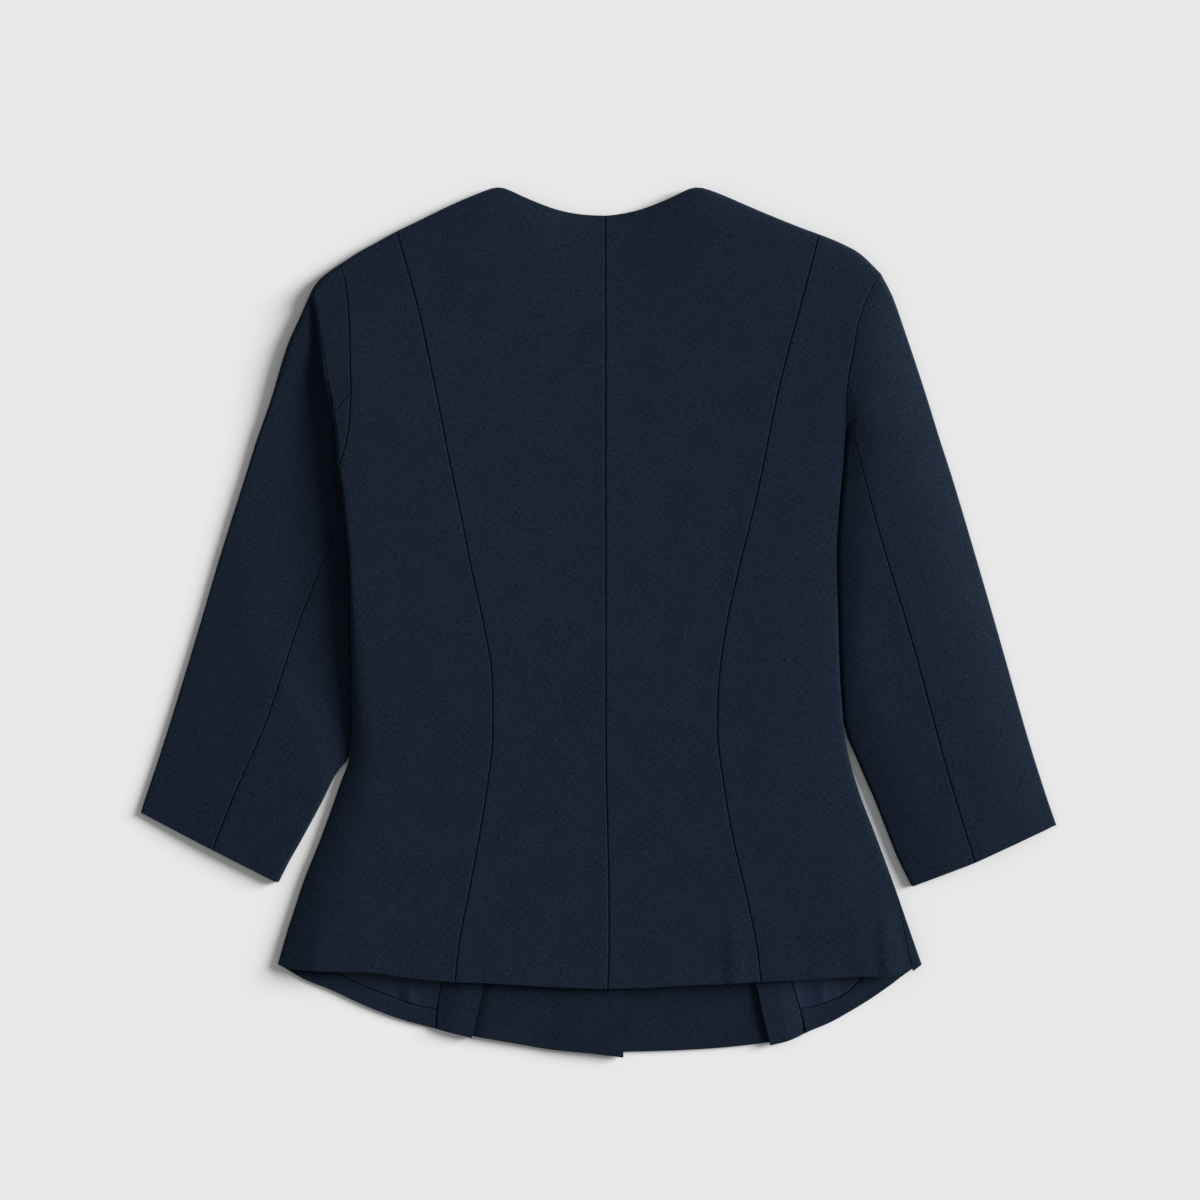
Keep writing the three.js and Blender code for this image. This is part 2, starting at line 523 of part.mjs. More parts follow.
// The centre front's outer edge runs on under the pleat
function frontOuterLine(side) {
  return side.frontPrincess.map((row) => {
    const x = row.x + side.sign * (pleatOverlap(row.y) - seamGap);
    return { y: row.y < side.frontHem[0].y ? yAt(side.frontHem, x) : row.y, x };
  });
}

function frontPanel(side) {
  const outer = frontOuterLine(side);
  const inner = [
    { y: yAt(side.frontHem, side.frontEdgeX), x: side.frontEdgeX },
    { y: 0, x: side.frontEdgeX },
    { y: yAt(side.frontNeck, side.frontEdgeX), x: side.frontEdgeX },
  ];
  const shoulder = topEdge.filter((row) => (row.x - side.neckPointX) * side.sign > 0);
  const top = [...shoulder, ...side.frontNeck].sort((a, b) => a.x - b.x);
  const shoulderColumns = 2;
  const flatColumns = 4;
  const { low, full } = side.lapFrom;
  const lapXs = [low, full, (full + side.frontEdgeX) / 2, side.frontEdgeX];
  const shoulderX = along(outer, 1).x;
  const neckShare = (shoulderX - side.neckPointX) / (shoulderX - low);
  const panel = {
    face: 'bottom', thickness: frontCloth, columns: flatColumns + lapXs.length,
    outer, inner, hem: side.frontHem, top,
    lift: (x, y) => frontLift(side, x, y),
    shoulderAt: (x) => shoulderRoll(side, x),
  };
  panel.columnAt = (i, t) => {
    const outerX = along(outer, t).x;
    const pastShoulder = (i - shoulderColumns) / (flatColumns - shoulderColumns);
    const flatShare = pastShoulder < 0 ? (neckShare * i) / shoulderColumns : lerp(neckShare, 1, pastShoulder);
    const x = i < flatColumns ? lerp(outerX, low, flatShare) : lapXs[i - flatColumns];
    return { across: (x - outerX) / (side.frontEdgeX - outerX) };
  };
  return panel;
}

// A piece inside a front at the hem, on some of that panel's own columns, moved out by a layer.
// It is pulled in a little from the panel's turned edges.
function layerOn(panel, firstColumn, topShare, trim) {
  const rows = 4;
  const columns = panel.columns - firstColumn;
  const pointOf = (i, j, inset) => {
    const t = (topShare * j) / rows;
    const place = planPoint(panel, panel.columnAt(firstColumn + i, t, 0).across, t);
    const z = panel.lift(place.x, place.y) + layerStep + inset;
    if (i === 0) place.x += trim.outer;
    if (i === columns - 1) place.x += trim.inner;
    if (j === 0) place.y += hemInset;
    return [place.x - centre.x, place.y - centre.y, z];
  };
  return wall(columns, rows + 1, frontCloth, pointOf);
}

const facingShare = 0.12; // of the front's height
const stripShare = 0.11; // of the side front's height

function facing(side) {
  const trim = { outer: -side.sign, inner: side.sign * hemInset };
  return layerOn(frontPanel(side), 0, facingShare, trim);
}

function pleatStrip(side) {
  const panel = sideFrontPanel(side);
  const trim = { outer: 0, inner: side.sign * hemInset };
  return layerOn(panel, panel.columns - pleatLines(side).length, stripShare, trim);
}

// A flat patch inside a side front, between the strip and the side fold
function patch(columns, rows, thickness, planAt) {
  const pointOf = (i, j, inset) => {
    const place = planAt(i / columns, j / rows);
    return [place.x - centre.x, place.y - centre.y, layerStep + inset];
  };
  return wall(columns + 1, rows + 1, thickness, pointOf);
}

const bandColumns = 10;
const liningTop = underHem + 2;
const stripEdge = (side, y) => xAt(side.stripOuter, y) + side.sign * 2 * seamGap;

function hemBand(side) {
  return patch(bandColumns, 1, frontCloth, (s, t) => {
    const x = lerp(side.bandEndX, side.stripOuter[1].x, s);
    const y = lerp(yAt(side.sideHem, x) + hemInset, yAt(side.bandTop, x), t);
    return new THREE.Vector2(s < 1 ? x : stripEdge(side, y), y);
  });
}

function liningPiece(side) {
  return patch(bandColumns - 1, 2, liningCloth, (s, t) => {
    const bandX = lerp(side.bandEndX, side.stripOuter[1].x, lerp(1 / bandColumns, 1, s));
    const lowY = yAt(side.bandTop, bandX) + seamGap;
    const y = lerp(lowY, liningTop, t);
    return new THREE.Vector2(s < 1 ? bandX : stripEdge(side, y), y);
  });
}

// How the sleeve leaves the armhole, as shares of its length
const foldTurned = 0.12; // by here the folds run square to their own edges
const curveGone = 0.2; // by here the sections have lost the armhole's curve
const underarmBlend = 12;
const frontSeamShare = 0.8; // place of the front seam across the underside

// A sleeve's inner edge: along the body's side fold, then free down to the cuff
function sleeveInnerX(side, y) {
  const underarm = side.stations[0].inner;
  const gap = lerp(tuck, armholeGap / 2, smoothstep(y, underarm - underarmBlend, underarm));
  const beside = xAt(side.edge, y) + side.sign * gap;
  if (y > side.sleeveInner.at(-1).y) return beside;
  return side.sign * Math.max(side.sign * beside, side.sign * xAt(side.sleeveInner, y));
}

// Square to a sleeve's fold, pointing into the sleeve
function foldNormal(xOf, y, towards) {
  const step = 2;
  const tangent = new THREE.Vector2(xOf(y + step) - xOf(y - step), 2 * step);
  const normal = new THREE.Vector2(-tangent.y, tangent.x).normalize();
  return normal.dot(towards) < 0 ? normal.negate() : normal;
}

// One section of a sleeve: its two folds, with the way in from each, and its back seam
function sleeveSection(side, at) {
  const armholeX = (y) => xAt(side.edge, y) + (side.sign * armholeGap) / 2;
  const outerX = (y) => xAt(side.sleeveOuter, y);
  const innerX = (y) => sleeveInnerX(side, y);
  const height = (column) => read(side.stations, 'at', at, column);
  const outer = new THREE.Vector2(outerX(height('outer')), height('outer'));
  const inner = new THREE.Vector2(innerX(height('inner')), height('inner'));
  const foldAt = (point, xOf, towards, step) => {
    const radius = sleeveTop(side, point.x, point.y) / 2;
    const armhole = new THREE.Vector2(armholeX(point.y + step * radius), point.y + step * radius);
    const turn = armhole.sub(point).normalize();
    turn.lerp(foldNormal(xOf, point.y, towards), smoothstep(at, 0, foldTurned)).normalize();
    return { point, radius, turn };
  };
  return {
    outer: foldAt(outer, outerX, inner.clone().sub(outer), -1),
    inner: foldAt(inner, innerX, outer.clone().sub(inner), 1),
    seam: pointAt(side.sleeveSeam, height('seam')),
  };
}

// Straight across a section, bowed with the armhole where the sleeve starts
function acrossSection(side, at, from, to, share) {
  const place = from.clone().lerp(to, share);
  const bow = xAt(side.edge, place.y) - lerp(xAt(side.edge, from.y), xAt(side.edge, to.y), share);
  place.x += (1 - smoothstep(at, 0, curveGone)) ** 2 * bow;
  return place;
}

function sleevePiece(side, isUpper) {
  const topColumns = isUpper ? 8 : 5;
  const underColumns = isUpper ? 4 : 2;
  const foldColumns = 2 * rollSteps;
  const pastFold = topColumns + foldColumns;
  const rows = side.sleeveRows;
  const pointOf = (i, j, inset) => {
    const section = sleeveSection(side, rows[j]);
    const fold = isUpper ? section.outer : section.inner;
    const foldEnd = fold.point.clone().addScaledVector(fold.turn, fold.radius);
    const besideSeam = (seam) => seam.clone().add(foldEnd.clone().sub(seam).setLength(seamGap / 2));
    if (i < topColumns) {
      const place = acrossSection(side, rows[j], besideSeam(section.seam), foldEnd, i / topColumns);
      return [place.x - centre.x, place.y - centre.y, sleeveTop(side, place.x, place.y) - inset];
    }
    if (i <= pastFold) {
      const girth = (1 - (2 * (i - topColumns)) / foldColumns) * fold.radius * (Math.PI / 2);
      const roll = roundFold(girth, inset, fold.radius, 2 * fold.radius, 1);
      const place = fold.point.clone().addScaledVector(fold.turn, roll.away);
      return [place.x - centre.x, place.y - centre.y, roll.z];
    }
    const frontSeam = section.outer.point.clone().lerp(section.inner.point, frontSeamShare);
    const share = (i - pastFold) / underColumns;
    const place = acrossSection(side, rows[j], foldEnd, besideSeam(frontSeam), share);
    return [place.x - centre.x, place.y - centre.y, inset];
  };
  return wall(pastFold + underColumns + 1, rows.length, cloth, pointOf);
}

const wool = { color: 0x1c2532, roughness: 0.9, metalness: 0 };
const satin = { color: 0x242d41, roughness: 0.45, metalness: 0 };

const jacket = new THREE.Group();

function addPiece(name, geometry, finish) {
  const mesh = new THREE.Mesh(geometry, new THREE.MeshStandardMaterial({ ...finish, name }));
  mesh.name = name;
  jacket.add(mesh);
}

for (const side of [left, right]) {
  addPiece(`back_${side.name}`, backPanel(side), wool);
  addPiece(`side_back_${side.name}`, sideBack(side), wool);
  addPiece(`side_front_${side.name}`, bodyPanel(sideFrontPanel(side)), wool);
  addPiece(`front_${side.name}`, bodyPanel(frontPanel(side)), wool);
  addPiece(`facing_${side.name}`, facing(side), wool);
  addPiece(`pleat_strip_${side.name}`, pleatStrip(side), wool);
  addPiece(`hem_band_${side.name}`, hemBand(side), wool);
  addPiece(`lining_${side.name}`, liningPiece(side), satin);
  addPiece(`upper_sleeve_${side.name}`, sleevePiece(side, true), wool);
  addPiece(`under_sleeve_${side.name}`, sleevePiece(side, false), wool);
}

export default jacket;
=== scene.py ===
import math

import bpy
import numpy as np
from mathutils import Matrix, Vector


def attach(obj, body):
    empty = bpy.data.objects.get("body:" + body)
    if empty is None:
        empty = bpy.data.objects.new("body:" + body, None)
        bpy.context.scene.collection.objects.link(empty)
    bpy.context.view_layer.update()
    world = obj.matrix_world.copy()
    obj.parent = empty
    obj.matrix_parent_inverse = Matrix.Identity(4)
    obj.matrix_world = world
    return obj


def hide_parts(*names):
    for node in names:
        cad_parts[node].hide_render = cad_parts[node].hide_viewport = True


# A women's collarless jacket in navy wool, laid flat on its front with its back up.
# Metres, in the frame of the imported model: the wearer's left is at minus X, the neck at plus Y.

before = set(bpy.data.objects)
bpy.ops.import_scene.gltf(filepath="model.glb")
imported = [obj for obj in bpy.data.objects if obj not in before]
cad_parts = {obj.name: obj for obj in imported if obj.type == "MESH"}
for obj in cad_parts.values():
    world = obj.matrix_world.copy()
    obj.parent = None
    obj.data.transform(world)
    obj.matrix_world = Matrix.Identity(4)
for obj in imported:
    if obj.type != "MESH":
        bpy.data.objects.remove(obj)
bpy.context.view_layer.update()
print("frame loaded:", len(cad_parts), "pieces")

planCentre = np.array([0.0004, 0.0001])  # middle of the jacket's plan in its own drawing

clothing = {
    "wool": 0.0014,  # wall of the backs and sleeves
    "front": 0.0012,  # wall of the fronts, facings, strips and bands
    "lining": 0.001,
    "seamGap": 0.00012,  # between two sewn edges
    "seamUnder": 0.00025,  # how far the seam allowance closes that gap underneath
    "armholeGap": 0.0002,
    "stripGap": 0.00003,  # between the strips and the bands and linings beside them
    "layerStep": 0.0015,  # one front layer and the air above it
    "tuck": 0.00015,  # between the body's side fold and the sleeve beside it
}

lay = {
    "loft": 0.0106,  # height of the back over the layers inside
    "hemHeight": 0.0122,  # over the facings and strips at the hem
    "hemRise": (-0.27, -0.12),
    "underHem": -0.24,  # the facings, strips, bands and linings reach up to here
    "sagDepth": 0.0036,  # where nothing lies under the back neck
    "sagPlace": (0.0055, 0.3049),
    "sagSize": (0.048, 0.055),
    "shoulderFall": 0.0028,  # the shoulders are lower than the back
    "shoulderWidth": 0.014,
    "neckBlend": 0.012,  # from the neckline's plain edge to the rolled shoulder
    "layerEnds": (0.015, 0.04),  # above underHem, where the second layer below a front runs out
}

# Shoulder and back neck line as (x, y), from the left sleeve head to the right one
topEdge = np.array([
    (-0.1919, 0.269), (-0.1785, 0.2777), (-0.1635, 0.2859), (-0.1507, 0.2929), (-0.1335, 0.3012),
    (-0.1185, 0.3086), (-0.1035, 0.3156), (-0.0885, 0.3218), (-0.079, 0.3254), (-0.0735, 0.3259),
    (-0.068, 0.3242), (-0.052, 0.317), (-0.0316, 0.3094), (-0.0135, 0.3058), (0.0055, 0.3049),
    (0.0165, 0.306), (0.0323, 0.3094), (0.0522, 0.3169), (0.068, 0.3244), (0.0742, 0.3259),
    (0.08, 0.325), (0.0915, 0.3209), (0.1215, 0.308), (0.1515, 0.2958), (0.1652, 0.2908),
    (0.1815, 0.2842), (0.1965, 0.2759), (0.212, 0.261),
])

# Back hem as (x, y)
backHem = np.array([
    (-0.24, -0.256), (-0.2288, -0.2591), (-0.1988, -0.2606), (-0.1673, -0.2614), (-0.1485, -0.2642),
    (-0.111, -0.2681), (-0.0885, -0.269), (0.0068, -0.2732), (0.0765, -0.2704), (0.1215, -0.2681),
    (0.1665, -0.2659), (0.1955, -0.2643), (0.2138, -0.2646), (0.2293, -0.2608), (0.242, -0.255),
])

# Centre back seam as (y, x)
centreBack = np.array([
    (-0.2732, 0.0071), (-0.24, 0.0081), (-0.2, 0.0079), (-0.15, 0.0069), (-0.11, 0.0059),
    (0, 0.0056), (0.3049, 0.0054),
])

# The wearer's left side. Upright lines are (y, x) from the hem or cuff upwards; hems are (x, y).
left = {
    "name": "left",
    "sign": -1,
    # Side fold from the hem corner to the underarm, then the armhole up to the shoulder
    "edge": np.array([
        (-0.256, -0.24), (-0.2315, -0.233), (-0.2117, -0.2266), (-0.193, -0.2204), (-0.163, -0.2084),
        (-0.133, -0.1975), (-0.118, -0.1922), (-0.104, -0.187), (-0.092, -0.1854), (-0.07, -0.1846),
        (-0.04, -0.1845), (0, -0.1847), (0.05, -0.1862), (0.08, -0.1892), (0.1, -0.1914),
        (0.1144, -0.1933), (0.1324, -0.1883), (0.151, -0.1855), (0.172, -0.1845), (0.195, -0.185),
        (0.225, -0.186), (0.25, -0.1883), (0.269, -0.1919),
    ]),
    "foldTop": (0.113, 0.118),  # the side fold opens into the armhole between these heights
    # How wide the side fold's roll is against its height, as (y, share)
    "foldWidth": np.array([(-0.26, 0.9), (-0.07, 0.9), (0, 0.5), (0.03, 0.3), (0.26, 0.3)]),
    # Where the side seam lies on the top face, as (y, girth from the fold)
    "sideSeam": np.array([(-0.26, 0), (-0.18, 0)]),
    "princess": np.array([
        (-0.2685, -0.1069), (-0.24, -0.1039), (-0.2, -0.0963), (-0.16, -0.0889), (-0.12, -0.0825),
        (-0.08, -0.0787), (-0.04, -0.0793), (0, -0.0857), (0.04, -0.0945), (0.08, -0.1024),
        (0.12, -0.1108), (0.16, -0.1185), (0.2, -0.1268), (0.24, -0.1358), (0.2929, -0.1507),
    ]),
    "frontPrincess": np.array([
        (-0.3112, -0.0945), (-0.27, -0.0855), (-0.23, -0.0775), (-0.19, -0.071), (-0.15, -0.067),
        (-0.05, -0.066), (0.05, -0.079), (0.15, -0.098), (0.25, -0.124), (0.298, -0.14),
    ]),
    "sideHem": np.array([
        (-0.24, -0.256), (-0.22, -0.2676), (-0.1995, -0.2758), (-0.1729, -0.2881),
        (-0.1483, -0.2973), (-0.1216, -0.3045), (-0.0945, -0.3112),
    ]),
    "frontHem": np.array([
        (-0.108, -0.3076), (-0.0938, -0.31), (-0.0662, -0.3147), (-0.0355, -0.3199),
        (-0.0047, -0.3229), (0.019, -0.3258),
    ]),
    "frontEdgeX": 0.019,  # centre front edge of the lap
    "lapFrom": (-0.075, -0.006),  # between these the left front rises over the right one
    "frontRoll": 0.002,  # how far the front rises out of its pleat at the hem
    "neckPointX": -0.0735,
    "frontNeck": np.array([
        (-0.0735, 0.3259), (-0.071, 0.305), (-0.064, 0.282), (-0.05, 0.258), (-0.03, 0.242),
        (-0.005, 0.233), (0.019, 0.231),
    ]),
    "stripOuter": np.array([(-0.3036, -0.1223), (-0.289, -0.121), (-0.27, -0.1178), (-0.24, -0.113)]),
    "bandTop": np.array([
        (-0.23, -0.244), (-0.21, -0.255), (-0.1907, -0.2648), (-0.1673, -0.2759),
        (-0.1298, -0.2887), (-0.115, -0.2914),
    ]),
    "bandEndX": -0.23,
    "sleeveOuter": np.array([
        (-0.1429, -0.3427), (-0.133, -0.3397), (-0.103, -0.3296), (-0.073, -0.32), (-0.013, -0.3017),
        (0.047, -0.284), (0.107, -0.265), (0.137, -0.2555), (0.167, -0.2449), (0.197, -0.236),
        (0.212, -0.2308), (0.227, -0.2239), (0.242, -0.2173), (0.2494, -0.2137), (0.2569, -0.2082),
        (0.2644, -0.1989), (0.269, -0.1921),
    ]),
    "sleeveSeam": np.array([
        (-0.1703, -0.2887), (-0.1286, -0.2723), (-0.0754, -0.249), (-0.037, -0.2362),
        (0.002, -0.2235), (0.025, -0.2145), (0.0484, -0.2048), (0.064, -0.1984), (0.08, -0.1939),
        (0.098, -0.1958), (0.118, -0.1984), (0.137, -0.1988), (0.1556, -0.1958), (0.164, -0.1912),
        (0.1721, -0.1847),
    ]),
    "sleeveInner": np.array([
        (-0.1946, -0.2392), (-0.178, -0.2307), (-0.163, -0.2222), (-0.133, -0.206),
        (-0.118, -0.1988), (-0.11, -0.1938), (-0.104, -0.1884), (-0.1, -0.1864),
    ]),
    # Sections of the sleeve as (share of its length, then heights of outer fold, seam, inner fold)
    "stations": np.array([
        (0, 0.269, 0.1721, 0.1144), (0.05, 0.259, 0.164, 0.1134), (0.09, 0.2485, 0.1556, 0.111),
        (0.14, 0.236, 0.137, 0.103), (0.2, 0.21, 0.116, 0.091), (0.28, 0.176, 0.09, 0.073),
        (0.36, 0.138, 0.063, 0.05), (0.46, 0.09, 0.031, 0.016), (0.56, 0.045, 0, -0.022),
        (0.68, -0.008, -0.04, -0.062), (0.79, -0.056, -0.08, -0.104), (0.9, -0.102, -0.126, -0.15),
        (1, -0.1429, -0.1703, -0.1946),
    ]),
    # Edge of the sleeve head that lies on the body, above the dropped outer sleeve
    "headFold": np.array([
        (0.1144, -0.1935), (0.1294, -0.1943), (0.151, -0.1965), (0.169, -0.201), (0.1924, -0.2055),
        (0.2284, -0.21), (0.247, -0.214),
    ]),
    "headFade": (0.113, 0.118),
    "headStep": (-0.0012, 0.0014),  # the drop from that edge, outward
    # How low the sleeve lies beside the body, and over which distance it rises, as (y, height, start, end)
    "valley": np.array([
        (-0.13, 0.0042, 0, 0.012), (-0.105, 0.0034, 0, 0.024), (-0.08, 0.003, 0.004, 0.036),
        (-0.06, 0.0029, 0.012, 0.05), (0, 0.0029, 0.03, 0.085), (0.1, 0.0029, 0.034, 0.085),
        (0.15, 0.003, 0.018, 0.064), (0.167, 0.0034, 0.008, 0.048), (0.189, 0.0044, 0.003, 0.028),
        (0.204, 0.0054, 0, 0.016), (0.2194, 0.0064, 0, 0.011), (0.235, 0.0074, 0, 0.009),
        (0.245, 0.0086, 0, 0.008), (0.252, 0.0105, 0, 0.008),
    ]),
    "valleyCurve": 0,
    # Soft ridge of the body and sleeve head along that drop, as (y, height)
    "ridge": np.array([
        (-0.15, 0), (-0.1, 0.0006), (-0.04, 0.0026), (0, 0.0038), (0.17, 0.004), (0.2, 0.0026),
        (0.225, 0.001), (0.25, 0),
    ]),
    "ridgeWidth": 0.16,
    # Height of the body's side fold, as (y, height)
    "sideHeight": np.array([
        (-0.256, 0.0046), (-0.2, 0.004), (-0.14, 0.004), (-0.11, 0.0048), (-0.08, 0.007),
        (-0.05, 0.0098), (-0.02, 0.0124), (0.01, 0.0138), (0.04, 0.0146), (0.26, 0.0146),
    ]),
    # Over which the back rounds down to that fold, as (y, width)
    "sideWidth": np.array([
        (-0.256, 0.045), (-0.16, 0.036), (-0.1, 0.022), (-0.05, 0.013), (0.26, 0.012),
    ]),
    # Height of the sleeve's outer fold and of its middle, as (y, fold, middle)
    "sleeveForm": np.array([
        (-0.2, 0.0038, 0.0058), (-0.1, 0.0036, 0.006), (0, 0.0036, 0.0054), (0.08, 0.0046, 0.0054),
        (0.12, 0.0056, 0.0062), (0.15, 0.0066, 0.007), (0.18, 0.0076, 0.0082), (0.2, 0.008, 0.0092),
        (0.22, 0.0082, 0.0098), (0.24, 0.0084, 0.01), (0.269, 0.0076, 0.008),
    ]),
    "sleeveWidth": 0.08,  # over which the sleeve rounds down to its outer fold
    "sleeveCurve": 2,  # how suddenly it does
    "sleeveFolds": [],
    "grain": math.radians(-17),  # the sleeve's length on the plan
    # Pieces whose wool is painted darker, as shade; on this side the sleeves lie away from the light
    "againstNap": ("upper_sleeve", "under_sleeve", "facing"),  # pieces that look darker
}

# The wearer's right side, with the same lines
right = {
    "name": "right",
    "sign": 1,
    "edge": np.array([
        (-0.255, 0.242), (-0.238, 0.236), (-0.208, 0.2255), (-0.193, 0.2202), (-0.163, 0.2091),
        (-0.133, 0.1975), (-0.118, 0.1924), (-0.103, 0.1882), (-0.088, 0.185), (-0.075, 0.1835),
        (-0.04, 0.1809), (0, 0.1795), (0.03, 0.1788), (0.055, 0.1784), (0.08, 0.1799),
        (0.1, 0.1815), (0.12, 0.1834), (0.15, 0.185), (0.1778, 0.186), (0.203, 0.1909),
        (0.224, 0.1943), (0.2426, 0.201), (0.261, 0.212),
    ]),
    "foldTop": (0.172, 0.19),
    "foldWidth": np.array([(-0.26, 0.3), (-0.2, 0.06), (0.26, 0.04)]),
    "sideSeam": np.array([
        (-0.262, 0.0152), (-0.228, 0.011), (-0.202, 0.0065), (-0.188, 0.002), (-0.18, 0),
    ]),
    "princess": np.array([
        (-0.2682, 0.1215), (-0.24, 0.1181), (-0.2, 0.1097), (-0.16, 0.1004), (-0.12, 0.0935),
        (-0.08, 0.089), (-0.04, 0.0904), (0, 0.096), (0.04, 0.1049), (0.08, 0.1148),
        (0.12, 0.1236), (0.16, 0.1315), (0.2, 0.141), (0.24, 0.1519), (0.2908, 0.1652),
    ]),
    "frontPrincess": np.array([
        (-0.3166, 0.129), (-0.2946, 0.1235), (-0.2706, 0.1185), (-0.23, 0.109), (-0.19, 0.101),
        (-0.15, 0.095), (-0.1, 0.091), (0, 0.093), (0.1, 0.105), (0.2, 0.122), (0.25, 0.134),
        (0.297, 0.148),
    ]),
    "sideHem": np.array([
        (0.129, -0.3166), (0.1432, -0.3131), (0.1567, -0.3071), (0.174, -0.2999), (0.189, -0.2916),
        (0.204, -0.2824), (0.219, -0.272), (0.228, -0.2651), (0.2361, -0.2594), (0.242, -0.255),
    ]),
    "frontHem": np.array([
        (-0.01, -0.322), (0.0183, -0.3218), (0.048, -0.3212), (0.084, -0.3194), (0.1065, -0.3174),
        (0.1274, -0.3148), (0.142, -0.3125),
    ]),
    "frontEdgeX": -0.01,
    "lapFrom": None,
    "frontRoll": 0,
    "neckPointX": 0.0742,
    "frontNeck": np.array([
        (-0.01, 0.231), (0.014, 0.233), (0.034, 0.242), (0.052, 0.258), (0.065, 0.282),
        (0.072, 0.305), (0.0742, 0.3259),
    ]),
    "stripOuter": np.array([(-0.3071, 0.1567), (-0.2927, 0.1525), (-0.2702, 0.146), (-0.24, 0.138)]),
    "bandTop": np.array([
        (0.146, -0.2915), (0.1524, -0.29), (0.1632, -0.2873), (0.1848, -0.2783), (0.1993, -0.2651),
        (0.215, -0.253), (0.231, -0.243),
    ]),
    "bandEndX": 0.231,
    "sleeveOuter": np.array([
        (-0.1519, 0.3435), (-0.133, 0.3369), (-0.103, 0.3272), (-0.073, 0.3182), (-0.013, 0.3012),
        (0.047, 0.2838), (0.107, 0.2659), (0.137, 0.2562), (0.167, 0.2469), (0.197, 0.2371),
        (0.212, 0.232), (0.227, 0.2269), (0.242, 0.2214), (0.2494, 0.218), (0.2569, 0.214),
        (0.2618, 0.2114),
    ]),
    "sleeveSeam": np.array([
        (-0.1798, 0.2818), (-0.136, 0.2681), (-0.1, 0.2576), (-0.064, 0.2479), (-0.028, 0.2381),
        (0.008, 0.2276), (0.044, 0.2164), (0.062, 0.2111), (0.08, 0.2059), (0.098, 0.2014),
        (0.116, 0.1966), (0.1316, 0.1929), (0.142, 0.191), (0.154, 0.1918), (0.166, 0.1909),
        (0.1778, 0.1862),
    ]),
    "sleeveInner": np.array([
        (-0.1976, 0.235), (-0.178, 0.2252), (-0.163, 0.219), (-0.133, 0.2072), (-0.118, 0.2006),
        (-0.103, 0.1942), (-0.088, 0.1876), (-0.076, 0.1842), (-0.07, 0.1828),
    ]),
    "stations": np.array([
        (0, 0.2618, 0.1778, 0.135), (0.05, 0.251, 0.166, 0.128), (0.1, 0.236, 0.153, 0.118),
        (0.15, 0.216, 0.138, 0.104), (0.22, 0.186, 0.118, 0.084), (0.3, 0.152, 0.093, 0.058),
        (0.38, 0.114, 0.064, 0.031), (0.47, 0.074, 0.033, 0.002), (0.57, 0.03, -0.004, -0.034),
        (0.68, -0.018, -0.045, -0.07), (0.79, -0.062, -0.088, -0.11), (0.9, -0.107, -0.134, -0.152),
        (1, -0.1519, -0.1798, -0.1976),
    ]),
    "headFold": None,
    "valley": np.array([
        (-0.2, 0.003, 0.003, 0.06), (-0.12, 0.0032, 0.003, 0.056), (-0.09, 0.0048, 0, 0.04),
        (-0.06, 0.0068, 0, 0.03), (-0.02, 0.0076, 0, 0.02), (0.03, 0.0074, 0, 0.026),
        (0.1, 0.0074, 0, 0.03), (0.145, 0.0082, 0, 0.026), (0.165, 0.01, 0, 0.022),
        (0.19, 0.0106, 0, 0.035), (0.26, 0.0092, 0, 0.045),
    ]),
    "valleyCurve": 1,
    "ridge": np.array([(-0.15, 0), (-0.1, 0.0004), (0, 0.0008), (0.12, 0.0008), (0.17, 0)]),
    "ridgeWidth": 0.024,
    "sideHeight": np.array([
        (-0.255, 0.01), (-0.2, 0.0092), (-0.13, 0.0086), (-0.05, 0.0086), (0.02, 0.0088),
        (0.08, 0.0092), (0.14, 0.0098), (0.18, 0.0108), (0.26, 0.0108),
    ]),
    "sideWidth": np.array([(-0.255, 0.05), (0.26, 0.05)]),
    "sleeveForm": np.array([
        (-0.2, 0.0042, 0.0072), (-0.1, 0.0038, 0.01), (0, 0.0036, 0.012), (0.1, 0.0038, 0.013),
        (0.18, 0.0044, 0.0134), (0.23, 0.0052, 0.0128), (0.2618, 0.0072, 0.0094),
    ]),
    "sleeveWidth": 0.066,
    "sleeveCurve": 3,
    "sleeveFolds": [((0.1838, 0.126), (0.188, 0.154), 0.0018, -0.003, (0.5, 0.5))],  # pit at the underarm
    "grain": math.radians(17),
    # Pieces whose wool is painted darker, as shade
    "againstNap": ("facing",),
}

# Soft folds of the laid back. A fold is a low bump or trough along a line: its start, its end, its
# width, its height, and the shares of its length over which it fades at the start and at the end.
backFolds = [
    ((0.2165, -0.272), (0.2095, -0.195), 0.0045, 0.0013, (0, 0.5)),
    ((0.219, -0.272), (0.213, -0.2), 0.009, 0.0008, (0, 0.6)),
    ((0.2115, -0.272), (0.2055, -0.195), 0.0035, -0.0009, (0, 0.5)),
    ((-0.211, -0.268), (-0.209, -0.212), 0.006, 0.0009, (0, 0.6)),
    ((-0.1115, -0.27), (-0.1125, -0.244), 0.003, -0.0005, (0, 0.7)),
    ((0.1035, -0.276), (0.0965, -0.18), 0.0085, 0.001, (0, 0.9)),
    ((0.0935, -0.276), (0.0895, -0.19), 0.004, -0.0006, (0, 0.9)),
]

seamLook = {
    "depth": 0.0011,  # how far a sewn edge turns down
    "width": 0.00042,
    "inside": 0.15,  # share of that depth between the strips, bands and linings
    "sideSeam": 0.12,  # the same at the side seams, where the fold is round
    "shoulder": 0.6,  # and at the shoulders
    "pressed": 0.00008,  # the seam allowance shows as a slight lift beside the seam
    "allowance": (0.00765, 0.009),  # over which that lift ends
    "pucker": 0.00006,
    "puckerReach": 0.004,
    # The pucker's waves as (radians to a metre, times the start, share)
    "puckerWaves": ((700, 1, 1), (1130, 2, 1), (2370, 3, 0.7)),
    "patchStart": 0.9,  # where in those waves the bands and linings start
    "sleeveStart": 1.7,
    "turnedDepth": 0.96,  # how near a turned edge's two faces come
}

